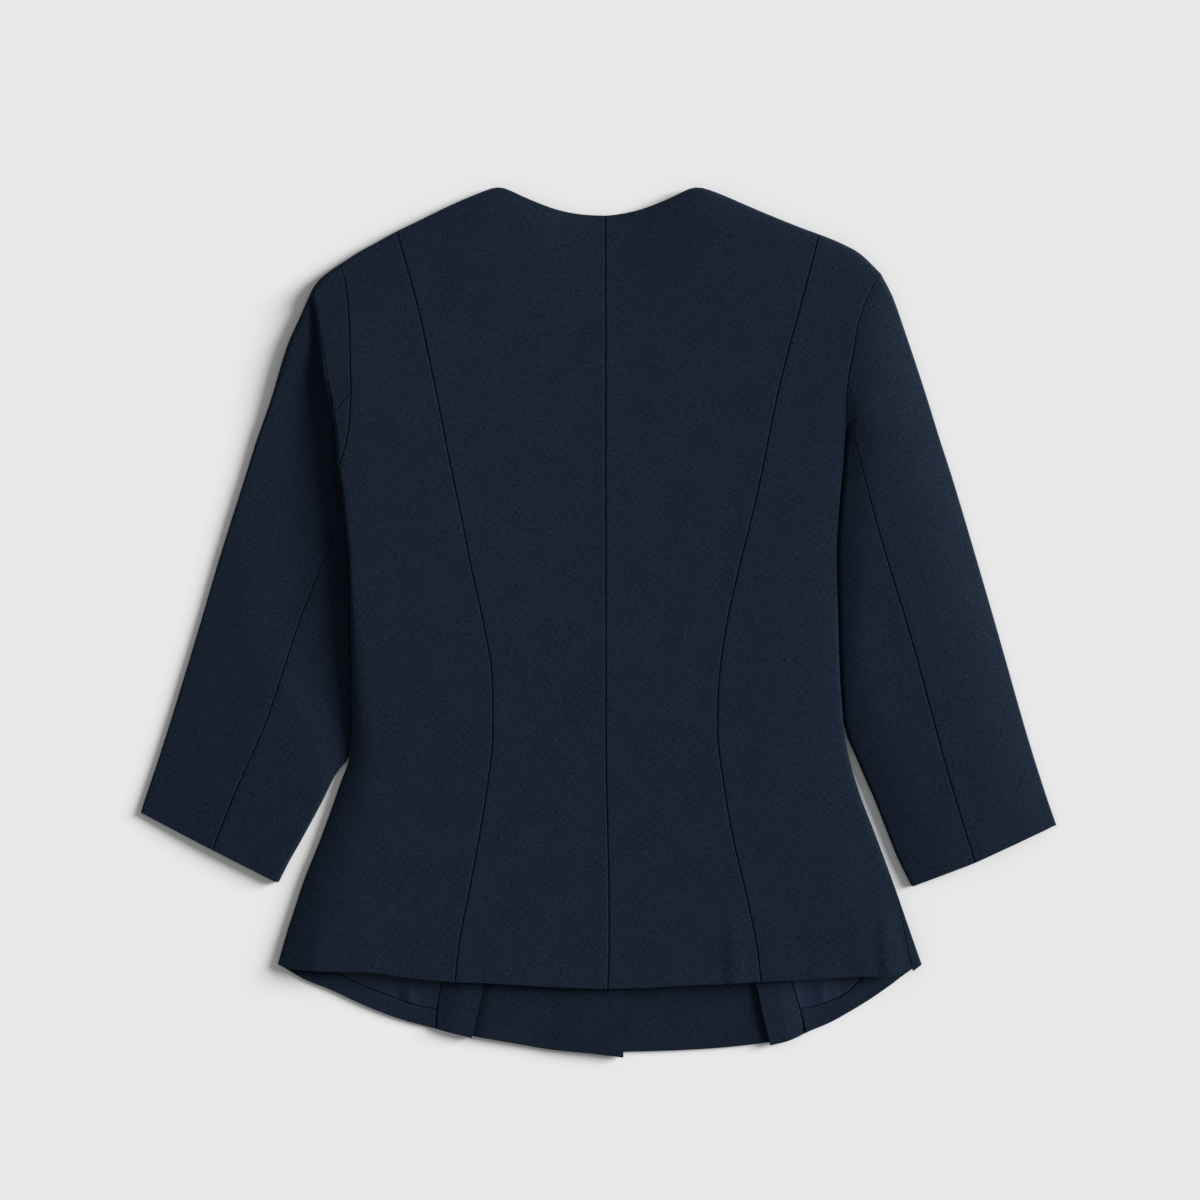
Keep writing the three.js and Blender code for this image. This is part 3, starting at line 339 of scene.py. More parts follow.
borderSteps = (0, 0.00012, 0.0003, 0.0005, 0.00075, 0.0011, 0.0017, 0.0027)  # from a border inward


def lerp(first, second, share):
    return first + (second - first) * share


def smoothstep(at, low, high):
    share = np.clip((at - low) / (high - low), 0, 1)
    return share * share * (3 - 2 * share)


# A column of a table at a key value, on a smooth curve through the rows, held past the ends
def read(rows, at, column=1):
    keys = rows[:, 0]
    values = rows[:, column]
    at = np.clip(at, keys[0], keys[-1])
    i = np.clip(np.searchsorted(keys, at, side="right") - 1, 0, len(keys) - 2)
    slopes = np.diff(values) / np.diff(keys)
    middle = (values[2:] - values[:-2]) / (keys[2:] - keys[:-2])
    steepest = 3 * np.minimum(np.abs(slopes[:-1]), np.abs(slopes[1:]))
    middle = np.clip(middle, -steepest, steepest) * (slopes[:-1] * slopes[1:] > 0)
    slope = np.concatenate([slopes[:1], middle, slopes[-1:]])
    span = keys[i + 1] - keys[i]
    s = (at - keys[i]) / span
    start = values[i] * (1 + 2 * s) * (1 - s) ** 2 + slope[i] * span * s * (1 - s) ** 2
    end = values[i + 1] * s * s * (3 - 2 * s) - slope[i + 1] * span * s * s * (1 - s)
    return start + end


# A line's point at a share of its height
def along(rows, share):
    y = lerp(rows[0][0], rows[-1][0], share)
    return np.stack([read(rows, y), y * np.ones_like(read(rows, y))], axis=-1)


# A height with its soft folds added
def folded(height, folds, x, y):
    for (startX, startY), (endX, endY), width, rise, (fadeIn, fadeOut) in folds:
        share = np.clip((y - startY) / (endY - startY), 0, 1)
        away = (x - lerp(startX, endX, share)) / width
        begun = 1 if fadeIn <= 0 else smoothstep(share, 0, fadeIn)
        kept = 1 - smoothstep(share, 1 - fadeOut, 1)
        height = height + rise * begun * kept * np.exp(-away * away)
    return height


# Distance out from the line where the body, or the sleeve head on it, drops to the sleeve
def pastDrop(side, x, y):
    line = read(side["edge"], y)
    if side["headFold"] is not None:
        line = lerp(line, read(side["headFold"], y), smoothstep(y, *side["headFade"]))
    return (x - line) * side["sign"]


def ridgeHeight(side, x, y):
    inside = np.maximum(-pastDrop(side, x, y), 0) / side["ridgeWidth"]
    return read(side["ridge"], y) * np.exp(-inside * inside)


# Height of the laid body above the surface
def bodyTop(x, y):
    overStack = 1 - smoothstep(y, *lay["hemRise"])
    fromNeck = ((x - lay["sagPlace"][0]) / lay["sagSize"][0]) ** 2
    fromNeck = fromNeck + ((y - lay["sagPlace"][1]) / lay["sagSize"][1]) ** 2
    height = lerp(lay["loft"], lay["hemHeight"], overStack) - lay["sagDepth"] * np.exp(-fromNeck)
    fromTop = np.maximum(read(topEdge, x) - y, 0)
    height = height - lay["shoulderFall"] * np.exp(-fromTop / lay["shoulderWidth"])
    height = height + ridgeHeight(left, x, y) + ridgeHeight(right, x, y)
    height = folded(height, backFolds, x, y)
    for side in (left, right):
        inside = (read(side["edge"], y) - x) * side["sign"] / read(side["sideWidth"], y)
        inside = np.clip(inside, 0, 1)
        low = np.minimum(read(side["sideHeight"], y), height)
        height = lerp(low, height, 1 - (1 - inside) ** 2)
    return height


# Height of a laid sleeve: low beside the body's side fold, and rounded down to its outer fold
def sleeveTop(side, x, y):
    out = pastDrop(side, x, y)
    inside = np.clip((read(side["sleeveOuter"], y) - x) * side["sign"] / side["sleeveWidth"], 0, 1)
    fold, middle = (read(side["sleeveForm"], y, column) for column in (1, 2))
    height = lerp(fold, middle, 1 - (1 - inside) ** side["sleeveCurve"])
    floor, start, end = (read(side["valley"], y, column) for column in (1, 2, 3))
    level = bodyTop(x, y)
    steady = 1 - np.clip((out - start) / (end - start), 0, 1)
    rise = lerp(smoothstep(out, start, end), 1 - steady ** 2, side["valleyCurve"])
    dropped = folded(lerp(np.minimum(floor, level), height, rise), side["sleeveFolds"], x, y)
    if side["headFold"] is None:
        return dropped
    raised = (1 - smoothstep(out, *side["headStep"])) * smoothstep(y, *side["headFade"])
    return lerp(dropped, level, raised)


pleat = {
    "closed": (-0.2, -0.14),  # heights between which the overlap ends
    "overlap": 0.0105,
    "ramp": (0.002, 0.026),  # past the overlap, where the side front comes down
    "lifted": (-0.125, -0.085),  # heights between which its lift ends
    "under": 0.0003,  # gap between the overlap's end and the centre front's
    "rollRise": 0.007,  # the centre front's roll rises over this width from the pleat
    "rollFall": (0.02, 0.06),
    "rollEnd": 0.04,
}


# How far a pleat's upper side front reaches over the centre front
def pleatOverlap(y):
    return pleat["overlap"] * (1 - smoothstep(y, *pleat["closed"]))


# How many layers lie under a front: one above the facings' upper ends, two below
def layersBelow(y):
    return 2 - smoothstep(y, *(lay["underHem"] + above for above in lay["layerEnds"]))


def sideFrontLift(side, x, y):
    out = (x - read(side["frontPrincess"], y)) * side["sign"]
    raised = 1 - smoothstep(out, *(pleatOverlap(y) + past for past in pleat["ramp"]))
    return raised * layersBelow(y) * clothing["layerStep"] * (1 - smoothstep(y, *pleat["lifted"]))


def frontLift(side, x, y):
    lap = smoothstep(x, *side["lapFrom"]) if side["lapFrom"] else 0
    beside = (read(side["frontPrincess"], y) - x) * side["sign"]
    roll = 1 - (1 - np.clip(beside / pleat["rollRise"], 0, 1)) ** 2
    roll = roll * (1 - smoothstep(beside, *pleat["rollFall"])) * side["frontRoll"]
    roll = roll * (1 - smoothstep(y, lay["underHem"], lay["underHem"] + pleat["rollEnd"]))
    return lap * layersBelow(y) * clothing["layerStep"] + roll


# Place on a fold's edge: its distance in plan from the fold and its height. girth runs from the
# fold's edge, plus over the top and minus underneath, and inset is the depth below the outer face.
# From no roundness to half, the edge draws in from a square one; from half to full, it rounds down.
def roundFold(girth, inset, radius, height, roundness, sunk=0, width=1):
    quarter = radius * math.pi / 2
    angle = np.minimum(np.abs(girth) / radius, math.pi / 2)
    past = np.maximum(np.abs(girth) - quarter, 0)
    rolled = width * radius * (1 - np.cos(angle)) + past + (inset + sunk) * np.cos(angle)
    drawnIn = np.minimum(2 * roundness, 1)
    lowered = np.maximum(2 * roundness - 1, 0)
    away = lerp(np.abs(girth) + clothing["armholeGap"] / 2, rolled, drawnIn)
    rolledTop = height / 2 + (height / 2 - inset) * np.sin(angle)
    rolledUnder = radius - (radius - inset) * np.sin(angle)
    sinking = sunk * lerp(1, np.sin(angle), roundness)
    top = lerp(height - inset, rolledTop, lowered) - sinking
    under = lerp(inset, rolledUnder, lowered) + sinking
    return away, np.where(girth > 0, top, under)


def seamSink(distance):
    return seamLook["depth"] * np.exp(-((distance / seamLook["width"]) ** 2))


# Slight unevenness along a seam, from waves of unrelated lengths
def pucker(run, start):
    waves = seamLook["puckerWaves"]
    uneven = sum(share * np.sin(run * pitch + turn * start) for pitch, turn, share in waves)
    return seamLook["pucker"] * uneven


# How a border of a shell is finished, as a shift of its outer and inner face
def borderShift(kind, distance, run, thickness, start):
    if kind in ("seam", "inside"):
        beside = 1 - smoothstep(distance, *seamLook["allowance"])
        uneven = pucker(run, start) * np.exp(-distance / seamLook["puckerReach"])
        lifted = seamLook["pressed"] * beside + uneven
        lifted = lifted - seamSink(distance) * (1 if kind == "seam" else seamLook["inside"])
        return lifted, lifted
    if kind == "turned":
        radius = thickness / 2
        deep = np.clip(1 - distance / radius, 0, 1)
        drop = seamLook["turnedDepth"] * radius * (1 - np.sqrt(1 - deep * deep))
        return -drop, drop
    return 0, 0


def runLength(grid, axis):
    steps = np.linalg.norm(np.diff(grid, axis=axis), axis=-1)
    total = np.cumsum(steps, axis=axis)
    first = np.zeros_like(np.take(total, [0], axis=axis))
    return np.concatenate([first, total], axis=axis)


# Rounds a turned border and turns down a sewn one. borders names the finish of each side.
def finishBorders(outer, inner, thickness, borders, start):
    across = runLength(outer, 1)
    upward = runLength(outer, 0)
    distances = {
        "first": (across, upward), "last": (across[:, -1:] - across, upward),
        "low": (upward, across), "high": (upward[-1:] - upward, across),
    }
    for place, kind in borders.items():
        distance, run = distances[place]
        outerShift, innerShift = borderShift(kind, distance, run, thickness, start)
        outer[..., 2] += outerShift
        inner[..., 2] += innerShift


def newObject(name, data):
    made = bpy.data.objects.new(name, data)
    bpy.context.scene.collection.objects.link(made)
    return made


def shadeSmooth(mesh):
    mesh.polygons.foreach_set("use_smooth", np.ones(len(mesh.polygons), dtype=bool))


sharpFrom = math.radians(55)


# A closed shell between an outer and an inner grid of points
def shell(name, outer, inner, material, grain=0):
    rows, columns = outer.shape[:2]
    points = np.concatenate([outer.reshape(-1, 3), inner.reshape(-1, 3)])
    front = np.arange(rows * columns).reshape(rows, columns)
    back = front + rows * columns

    def strip(a, b, c, d):
        return np.stack([a.ravel(), b.ravel(), c.ravel(), d.ravel()], axis=1)

    faces = np.concatenate([
        strip(front[:-1, :-1], front[:-1, 1:], front[1:, 1:], front[1:, :-1]),
        strip(back[:-1, :-1], back[1:, :-1], back[1:, 1:], back[:-1, 1:]),
        strip(front[0, 1:], front[0, :-1], back[0, :-1], back[0, 1:]),
        strip(front[-1, :-1], front[-1, 1:], back[-1, 1:], back[-1, :-1]),
        strip(front[1:, -1], front[:-1, -1], back[:-1, -1], back[1:, -1]),
        strip(front[:-1, 0], front[1:, 0], back[1:, 0], back[:-1, 0]),
    ])
    a, b, c, d = (points[faces[:, n]] for n in range(4))
    volume = np.sum(np.cross(c - a, d - b) * (a + b + c + d)) / 24
    if volume < 0:
        faces = faces[:, ::-1]
    mesh = bpy.data.meshes.new(name)
    mesh.from_pydata(points.tolist(), [], faces.tolist())
    uvLayer = mesh.uv_layers.new(name="grain")
    turned = np.array([[math.cos(grain), math.sin(grain)], [-math.sin(grain), math.cos(grain)]])
    corners = points[faces.ravel()][:, :2] @ turned.T
    uvLayer.data.foreach_set("uv", corners.astype(np.float32).ravel())
    shadeSmooth(mesh)
    mesh.set_sharp_from_angle(angle=sharpFrom)
    mesh.materials.append(material)
    return newObject(name, mesh)


# Shares along a length: close at the borders that are named, even between
def shares(length, count, closeFirst=True, closeLast=True, gap=0.0):
    first = (gap + np.array(borderSteps if closeFirst else (0,))) / length
    last = 1 - (gap + np.array(borderSteps[::-1] if closeLast else (0,))) / length
    between = lerp(first[..., -1:], last[..., :1], np.linspace(0, 1, count + 2)[1:-1])
    return np.concatenate([first, between, last], axis=-1)


# A body panel in plan. Its rows run from an outer line to an inner line.
def planPoint(panel, across, t):
    place = lerp(along(panel["outer"], t), along(panel["inner"], t), across[..., None])
    low = lerp(along(panel["outer"], 0), along(panel["inner"], 0), across[..., None])
    high = lerp(along(panel["outer"], 1), along(panel["inner"], 1), across[..., None])
    place[..., 1] += (1 - t) ** 2 * (read(panel["hem"], low[..., 0]) - low[..., 1])
    place[..., 1] += t ** 2 * (read(panel["top"], high[..., 0]) - high[..., 1])
    return place


bodyRows = {
    "length": 0.575,
    "step": 0.0032,
    "farStep": 0.009,
    "fineTo": -0.22,  # the hidden fronts are fine only below this height
    "shoulderShare": 0.98,
    "rollSteps": 9,
    "beforeRoll": (0.0078, 0.0052, 0.0028, 0.0012),
    "backColumns": 30,
    "frontColumns": 34,
}


# Shares up a body panel from its hem to just below the shoulder
def rowShares(panel):
    top = bodyRows["shoulderShare"]
    length = bodyRows["length"]
    hem = np.array(borderSteps) / length
    if panel["face"] == "top":
        count = int((top - hem[-1]) * length / bodyRows["step"])
        return np.concatenate([hem, np.linspace(hem[-1], top, count + 1)[1:]])
    low = panel["outer"][0][0]
    fine = (bodyRows["fineTo"] - low) / length
    near = int((fine - hem[-1]) * length / bodyRows["step"])
    far = int((top - fine) * length / bodyRows["farStep"])
    upper = np.linspace(fine, top, far + 1)[1:]
    return np.concatenate([hem, np.linspace(hem[-1], fine, near + 1)[1:], upper])


# A body panel's outer and inner face. Rows near the shoulder go round its fold to the seam.
def bodyGrids(panel):
    isTop = panel["face"] == "top"
    flatRows = rowShares(panel)
    grids = []
    for inset in (0, panel["thickness"]):
        t = flatRows[:, None]
        across, height, raised = panel["columnsAt"](t, inset)
        place = planPoint(panel, across, t)
        x, y = place[..., 0], place[..., 1]
        lift = panel["lift"](x, y)
        level = bodyTop(x, y)
        flat = level - inset if isTop else lift + inset
        rolled = height + raised * (level / level[:, :1] - 1) + (0 if isTop else lift)
        z = np.where(np.isnan(height), flat, rolled)
        lower = np.concatenate([place, z[..., None]], axis=-1)

        edge, _, _ = panel["columnsAt"](np.ones((1, 1)), inset)
        edgePlace = planPoint(panel, edge, 1.0)
        below = planPoint(panel, edge, bodyRows["shoulderShare"])
        direction = below - edgePlace
        direction = direction / np.linalg.norm(direction, axis=-1, keepdims=True)
        onShoulder = panel["shoulderAt"](edgePlace[..., 0])
        rollHeight = bodyTop(edgePlace[..., 0], edgePlace[..., 1])
        radius = rollHeight / 2
        quarter = radius * math.pi / 2
        turning = np.linspace(1, 0, bodyRows["rollSteps"] + 1)[:, None]
        girth = np.concatenate([quarter + np.array(bodyRows["beforeRoll"])[:, None], quarter * turning])
        girth = np.maximum(girth, clothing["seamGap"] / 2)
        sunk = seamSink(girth) * onShoulder * seamLook["shoulder"]
        towards = girth if isTop else -girth
        away, rolled = roundFold(towards, inset, radius, rollHeight, onShoulder, sunk)
        _, outerZ = roundFold(towards, 0, radius, rollHeight, onShoulder, sunk)
        edgeDrop = borderShift("turned", away, 0, panel["thickness"], 0)[0 if inset == 0 else 1]
        rolled = rolled + (1 - onShoulder) * edgeDrop * (1 if isTop else -1)
        upper = edgePlace + direction * away[..., None]
        if isTop:
            rolled = rolled + outerZ * (bodyTop(upper[..., 0], upper[..., 1]) / rollHeight - 1)
        else:
            rolled = rolled + panel["lift"](upper[..., 0], upper[..., 1])
        upper = np.concatenate([upper, rolled[..., None]], axis=-1)
        grid = np.concatenate([lower, upper])
        grid[..., :2] -= planCentre
        grids.append(grid)
    return grids


# Full roll on the shoulder, none along the neckline
def shoulderRoll(side, x):
    return 1 - smoothstep((side["neckPointX"] - x) * side["sign"], 0, lay["neckBlend"])


# Finishes a body panel's seams and turns its hem, then makes the shell
def bodyShell(name, panel, material, borders):
    outer, inner = bodyGrids(panel)
    finishBorders(outer, inner, panel["thickness"], borders, panel["start"])
    sign = 1 if panel["face"] == "top" else -1
    outerShift, innerShift = borderShift("turned", runLength(outer, 0), 0, panel["thickness"], 0)
    outer[..., 2] += sign * outerShift
    inner[..., 2] += sign * innerShift
    return shell(name, outer, inner, material)


def panelWidth(panel, t):
    ends = along(panel["inner"], t) - along(panel["outer"], t)
    return np.linalg.norm(ends, axis=-1)


# Where a sewn edge ends: just short of the seam on the face, past it underneath
def seamEdge(inset):
    return clothing["seamGap"] / 2 if inset == 0 else -clothing["seamUnder"]


def noLift(x, y):
    return 0 * x


# Columns of a panel that wraps no side fold
def flatColumns(panel, count, edgeOf=lambda inset: 0.0):
    def columnsAt(t, inset):
        across = shares(panelWidth(panel, t), count, gap=edgeOf(inset))
        return across, np.full_like(across, np.nan), 0

    return columnsAt


def backPanel(side, material):
    panel = {
        "face": "top", "thickness": clothing["wool"], "outer": side["princess"], "inner": centreBack,
        "hem": backHem, "top": topEdge, "lift": noLift, "start": 1.3 * side["sign"],
        "shoulderAt": lambda x: shoulderRoll(side, x),
    }
    panel["columnsAt"] = flatColumns(panel, bodyRows["backColumns"], seamEdge)
    return bodyShell(f"back_{side['name']}_wool", panel, material, {"first": "seam", "last": "seam"})


sideColumns = {
    "fold": 16,
    "wideFold": 30,  # where a side seam lies on the top face
    "foldCrowding": 1.6,  # how much closer the columns lie near the seam
    "back": 26,
    "front": 38,
    "least": 0.003,
}


# Columns of a side panel: round the side fold, then across to its princess seam
def foldedColumns(side, panel, foldSteps, innerShares):
    isTop = panel["face"] == "top"

    def columnsAt(t, inset):
        fold = along(side["edge"], t)
        width = panelWidth(panel, t)
        height = bodyTop(fold[..., 0], fold[..., 1])
        radius = height / 2
        quarter = radius * math.pi / 2
        roundness = 1 - smoothstep(fold[..., 1], *side["foldTop"])
        seamGirth = np.maximum(read(side["sideSeam"], fold[..., 1]), 0)
        half = clothing["seamGap"] / 2
        start = seamGirth + half if isTop else seamGirth - half
        end = np.maximum(quarter, start + sideColumns["least"]) if isTop else -quarter
        share = np.linspace(0, 1, foldSteps + 1) ** sideColumns["foldCrowding"]
        girth = lerp(start, end, share)
        sunk = seamSink(np.abs(girth - seamGirth)) * lerp(1, seamLook["sideSeam"], roundness)
        foldWidth = read(side["foldWidth"], fold[..., 1])
        away, z = roundFold(girth, inset, radius, height, roundness, sunk, foldWidth)
        _, outerZ = roundFold(girth, 0, radius, height, roundness, sunk, foldWidth)
        foldShare = away[..., -1:] / width
        flat = lerp(foldShare, 1, innerShares(width * (1 - foldShare), inset))
        across = np.concatenate([away / width, flat], axis=-1)
        raised = np.concatenate([np.where(girth > 0, outerZ, 0), 0 * flat], axis=-1)
        return across, np.concatenate([z, np.full_like(flat, np.nan)], axis=-1), raised

    return columnsAt


def sideBack(side, material):
    panel = {
        "face": "top", "thickness": clothing["wool"], "outer": side["edge"], "inner": side["princess"],
        "hem": backHem, "top": topEdge, "lift": noLift, "start": 2.1 * side["sign"],
        "shoulderAt": np.ones_like,
    }

    def innerShares(width, inset):
        return shares(width, sideColumns["back"], closeFirst=False, gap=seamEdge(inset))[..., 1:]

    panel["columnsAt"] = foldedColumns(side, panel, sideColumns["fold"], innerShares)
    return bodyShell(f"side_back_{side['name']}_wool", panel, material, {"last": "seam"})


def sideFrontPlan(side):
    panel = {
        "face": "bottom", "thickness": clothing["front"], "outer": side["edge"],
        "inner": side["frontPrincess"], "hem": side["sideHem"], "top": topEdge,
        "lift": lambda x, y: sideFrontLift(side, x, y), "start": 0.4,
        "shoulderAt": np.ones_like,
    }

    def innerShares(width, inset):
        return shares(width, sideColumns["front"], closeFirst=False)[..., 1:]

    steps = sideColumns["wideFold"] if side["sideSeam"][0][1] > 0 else sideColumns["fold"]
    panel["columnsAt"] = foldedColumns(side, panel, steps, innerShares)
    return panel


def sideFront(side, material):
    return bodyShell(f"side_front_{side['name']}_wool", sideFrontPlan(side), material, {})


# The centre front's outer edge runs on under the pleat
def frontOuterLine(side):
    rows = []
    for y, x in side["frontPrincess"]:
        under = x + side["sign"] * (pleatOverlap(y) - pleat["under"])
        low = side["frontHem"][0][1]
        rows.append((read(side["frontHem"], under) if y < low else y, under))
    return np.array(rows, dtype=float)


def frontPlan(side):
    edgeX = side["frontEdgeX"]
    shoulder = topEdge[(topEdge[:, 0] - side["neckPointX"]) * side["sign"] > 0]
    top = np.concatenate([shoulder, side["frontNeck"]])
    ends = [read(side[line], edgeX) for line in ("frontHem", "frontNeck")]
    inner = np.array([(ends[0], edgeX), (0, edgeX), (ends[1], edgeX)])
    panel = {
        "face": "bottom", "thickness": clothing["front"], "outer": frontOuterLine(side), "inner": inner,
        "hem": side["frontHem"], "top": top[np.argsort(top[:, 0])], "start": 0.7,
        "lift": lambda x, y: frontLift(side, x, y), "shoulderAt": lambda x: shoulderRoll(side, x),
    }
    panel["columnsAt"] = flatColumns(panel, bodyRows["frontColumns"])
    return panel


def front(side, material):
    return bodyShell(f"front_{side['name']}_wool", frontPlan(side), material, {})


insideCut = {
    "hemInset": 0.0004,
    "hemBlend": 0.03,  # share of the panel's length over which that inset ends
    "rows": 22,
    "facingShare": 0.12,  # of the panel's length that the facing covers
    "facingColumns": 36,
    "facingTrim": 0.001,  # short of the pleat
    "stripShare": 0.11,
    "stripColumns": 18,
    "stripWidth": 0.03,
}


def layerRows(topShare):
    return shares(bodyRows["length"] * topShare, insideCut["rows"], closeLast=False)[:, None] * topShare


# A piece inside a front at the hem, moved out from that panel by a layer
def layerOn(name, panel, acrossAt, topShare, trim, material, borders):
    t = layerRows(topShare)
    across = acrossAt(panelWidth(panel, t))
    place = planPoint(panel, across, t)
    lift = panel["lift"](place[..., 0], place[..., 1])
    place[:, 0, 0] += trim["first"]
    place[:, -1, 0] += trim["last"]
    place[..., 1] += insideCut["hemInset"] * (1 - np.minimum(t / insideCut["hemBlend"], 1))
    place -= planCentre
    grids = []
    for inset in (0, panel["thickness"]):
        z = lift + clothing["layerStep"] + panel["thickness"] - inset
        grids.append(np.concatenate([place, z[..., None]], axis=-1))
    finishBorders(*grids, panel["thickness"], borders, panel["start"])
    return shell(name, *grids, material)


def facing(side, material):
    trim = {"first": -side["sign"] * insideCut["facingTrim"], "last": side["sign"] * insideCut["hemInset"]}

    def acrossAt(width):
        return shares(width, insideCut["facingColumns"])

    borders = {"last": "turned", "low": "turned"}
    return layerOn(
        f"facing_{side['name']}_wool", frontPlan(side), acrossAt, insideCut["facingShare"],
        trim, material, borders,
    )


def pleatStrip(side, material):
    panel = sideFrontPlan(side)
    trim = {"first": 0, "last": side["sign"] * insideCut["hemInset"]}
    y = along(panel["inner"], layerRows(insideCut["stripShare"]))[..., 1]
    reach = np.abs(read(side["stripOuter"], y) - read(side["frontPrincess"], y))

    def acrossAt(width):
        return lerp(1 - reach / width, 1, shares(insideCut["stripWidth"], insideCut["stripColumns"]))

    borders = {"first": "inside", "last": "turned", "low": "turned"}
    return layerOn(
        f"pleat_strip_{side['name']}_wool", panel, acrossAt, insideCut["stripShare"],
        trim, material, borders,
    )


# A flat patch inside a side front, between the strip and the side fold
def patch(side, name, rows, columns, thickness, planAt, material, borders, dimple=None):
    place = planAt(columns[None, :], rows[:, None])
    lift = sideFrontLift(side, place[..., 0], place[..., 1])
    grids = []
    for inset in (0, thickness):
        z = lift + clothing["layerStep"] + thickness - inset
        if dimple:
            z = z + dimple(place[..., 0], place[..., 1])
        grids.append(np.concatenate([place - planCentre, z[..., None]], axis=-1))
    finishBorders(*grids, thickness, borders, seamLook["patchStart"])
    return shell(name, *grids, material)


# Columns of a patch run from near the side fold; the last of them bend on to the strip's edge
def bentToStrip(side, x, y, across, bendFrom):
    edge = read(side["stripOuter"], y) + side["sign"] * clothing["stripGap"]
    return np.stack([lerp(x, edge, smoothstep(across, bendFrom, 1)), y], axis=-1)


def patchX(side, across, t):
    return lerp(side["bandEndX"], side["stripOuter"][1][1], across) * np.ones_like(t)


bandCut = {"width": 0.02, "rows": 8, "length": 0.12, "columns": 44, "bendFrom": 0.9}


def hemBand(side, material):
    def planAt(across, t):
        x = patchX(side, across, t)
        low = read(side["sideHem"], x) + insideCut["hemInset"]
        y = lerp(low, read(side["bandTop"], x), t)
        return bentToStrip(side, x, y, across, bandCut["bendFrom"])

    rows = shares(bandCut["width"], bandCut["rows"])
    columns = shares(bandCut["length"], bandCut["columns"])
    borders = {"last": "inside", "low": "turned", "high": "seam"}
    return patch(
        side, f"hem_band_{side['name']}_wool", rows, columns, clothing["front"], planAt, material, borders,
    )


liningCut = {
    "height": 0.04,
    "rows": 24,
    "length": 0.1,
    "columns": 44,
    "startShare": 0.1,  # along the band
    "bendFrom": 0.88,
    "aboveHem": 0.002,  # past the upper ends of the strips
    "left": [
        ((-0.141, -0.285), (-0.146, -0.25), 0.004, 0.0008, (0, 0.6)),
        ((-0.15, -0.283), (-0.158, -0.25), 0.003, -0.0004, (0, 0.6)),
    ],
    "right": [
        ((0.168, -0.285), (0.166, -0.25), 0.004, 0.0006, (0, 0.6)),
        ((0.183, -0.28), (0.178, -0.25), 0.003, -0.0003, (0, 0.6)),
    ],
}


def liningPiece(side, material):
    def planAt(across, t):
        x = patchX(side, lerp(liningCut["startShare"], 1, across), t)
        low = read(side["bandTop"], x) + clothing["seamGap"]
        y = lerp(low, lay["underHem"] + liningCut["aboveHem"], t)
        return bentToStrip(side, x, y, across, liningCut["bendFrom"])

    def dimple(x, y):
        return folded(0 * x, liningCut[side["name"]], x, y)

    rows = shares(liningCut["height"], liningCut["rows"], closeLast=False)
    columns = shares(liningCut["length"], liningCut["columns"])
    borders = {"last": "inside", "low": "seam"}
    return patch(
        side, f"lining_{side['name']}_satin", rows, columns, clothing["lining"], planAt, material,
        borders, dimple,
    )


sleeveCut = {
    "length": 0.41,
    "rows": 150,
    "foldSteps": 22,
    "topColumns": {"upper": 44, "under": 26},
    "underColumns": {"upper": 18, "under": 8},
    "foldTurned": 0.12,  # share of the length over which a section turns square to its fold
    "curveGone": 0.2,  # share over which it loses the armhole's bow
    "underarmBlend": 0.012,
    "frontSeamShare": 0.8,
    "tangentStep": 0.002,
    "headTrial": 200,
    # Columns beside the head's fold, and how near it comes to the seam and to the outer fold
    "nearHead": (
        -0.003, -0.002, -0.0012, -0.0006, 0, 0.0006, 0.0012, 0.0018, 0.0024, 0.003, 0.004, 0.0055,
    ),
    "headFromSeam": 0.0035,
    "headFromFold": 0.008,
    "headInside": 9,
    "headBeyond": 10,  # columns fewer than without a head's fold
    "sinkLean": (0.2, 0.2, 1),  # the armhole seam turns mostly straight down
}


# A sleeve's inner edge: along the body's side fold, then free down to the cuff
def sleeveInnerX(side, y):
    underarm = side["stations"][0][3]
    gap = lerp(
        clothing["tuck"], clothing["armholeGap"] / 2,
        smoothstep(y, underarm - sleeveCut["underarmBlend"], underarm),
    )
    beside = read(side["edge"], y) + side["sign"] * gap
    if y > side["sleeveInner"][-1][0]:
        return beside
    return side["sign"] * max(side["sign"] * beside, side["sign"] * read(side["sleeveInner"], y))


# Square to a sleeve's fold, pointing into the sleeve
def foldNormal(xOf, y, towards):
    step = sleeveCut["tangentStep"]
    tangent = np.array([xOf(y + step) - xOf(y - step), 2 * step])
    normal = np.array([-tangent[1], tangent[0]]) / np.linalg.norm(tangent)
    return -normal if normal @ towards < 0 else normal


def unit(vector):
    return vector / np.linalg.norm(vector)


# One section of a sleeve: its two folds, with the way in from each, and its back seam
def sleeveSection(side, at):
    def armholeX(y):
        return read(side["edge"], y) + side["sign"] * clothing["armholeGap"] / 2

    def outerX(y):
        return read(side["sleeveOuter"], y)

    def innerX(y):
        return sleeveInnerX(side, y)

    outerY, seamY, innerY = (float(read(side["stations"], at, column)) for column in (1, 2, 3))
    outer = np.array([outerX(outerY), outerY])
    inner = np.array([innerX(innerY), innerY])

    def foldAt(point, xOf, towards, step):
        radius = sleeveTop(side, point[0], point[1]) / 2
        armhole = np.array([armholeX(point[1] + step * radius), point[1] + step * radius])
        square = foldNormal(xOf, point[1], towards)
        turn = lerp(unit(armhole - point), square, smoothstep(at, 0, sleeveCut["foldTurned"]))
        return {"point": point, "radius": radius, "turn": unit(turn)}

    seam = np.array([read(side["sleeveSeam"], seamY), seamY])
    return {
        "outer": foldAt(outer, outerX, inner - outer, -1),
        "inner": foldAt(inner, innerX, outer - inner, 1),
        "seam": seam,
    }


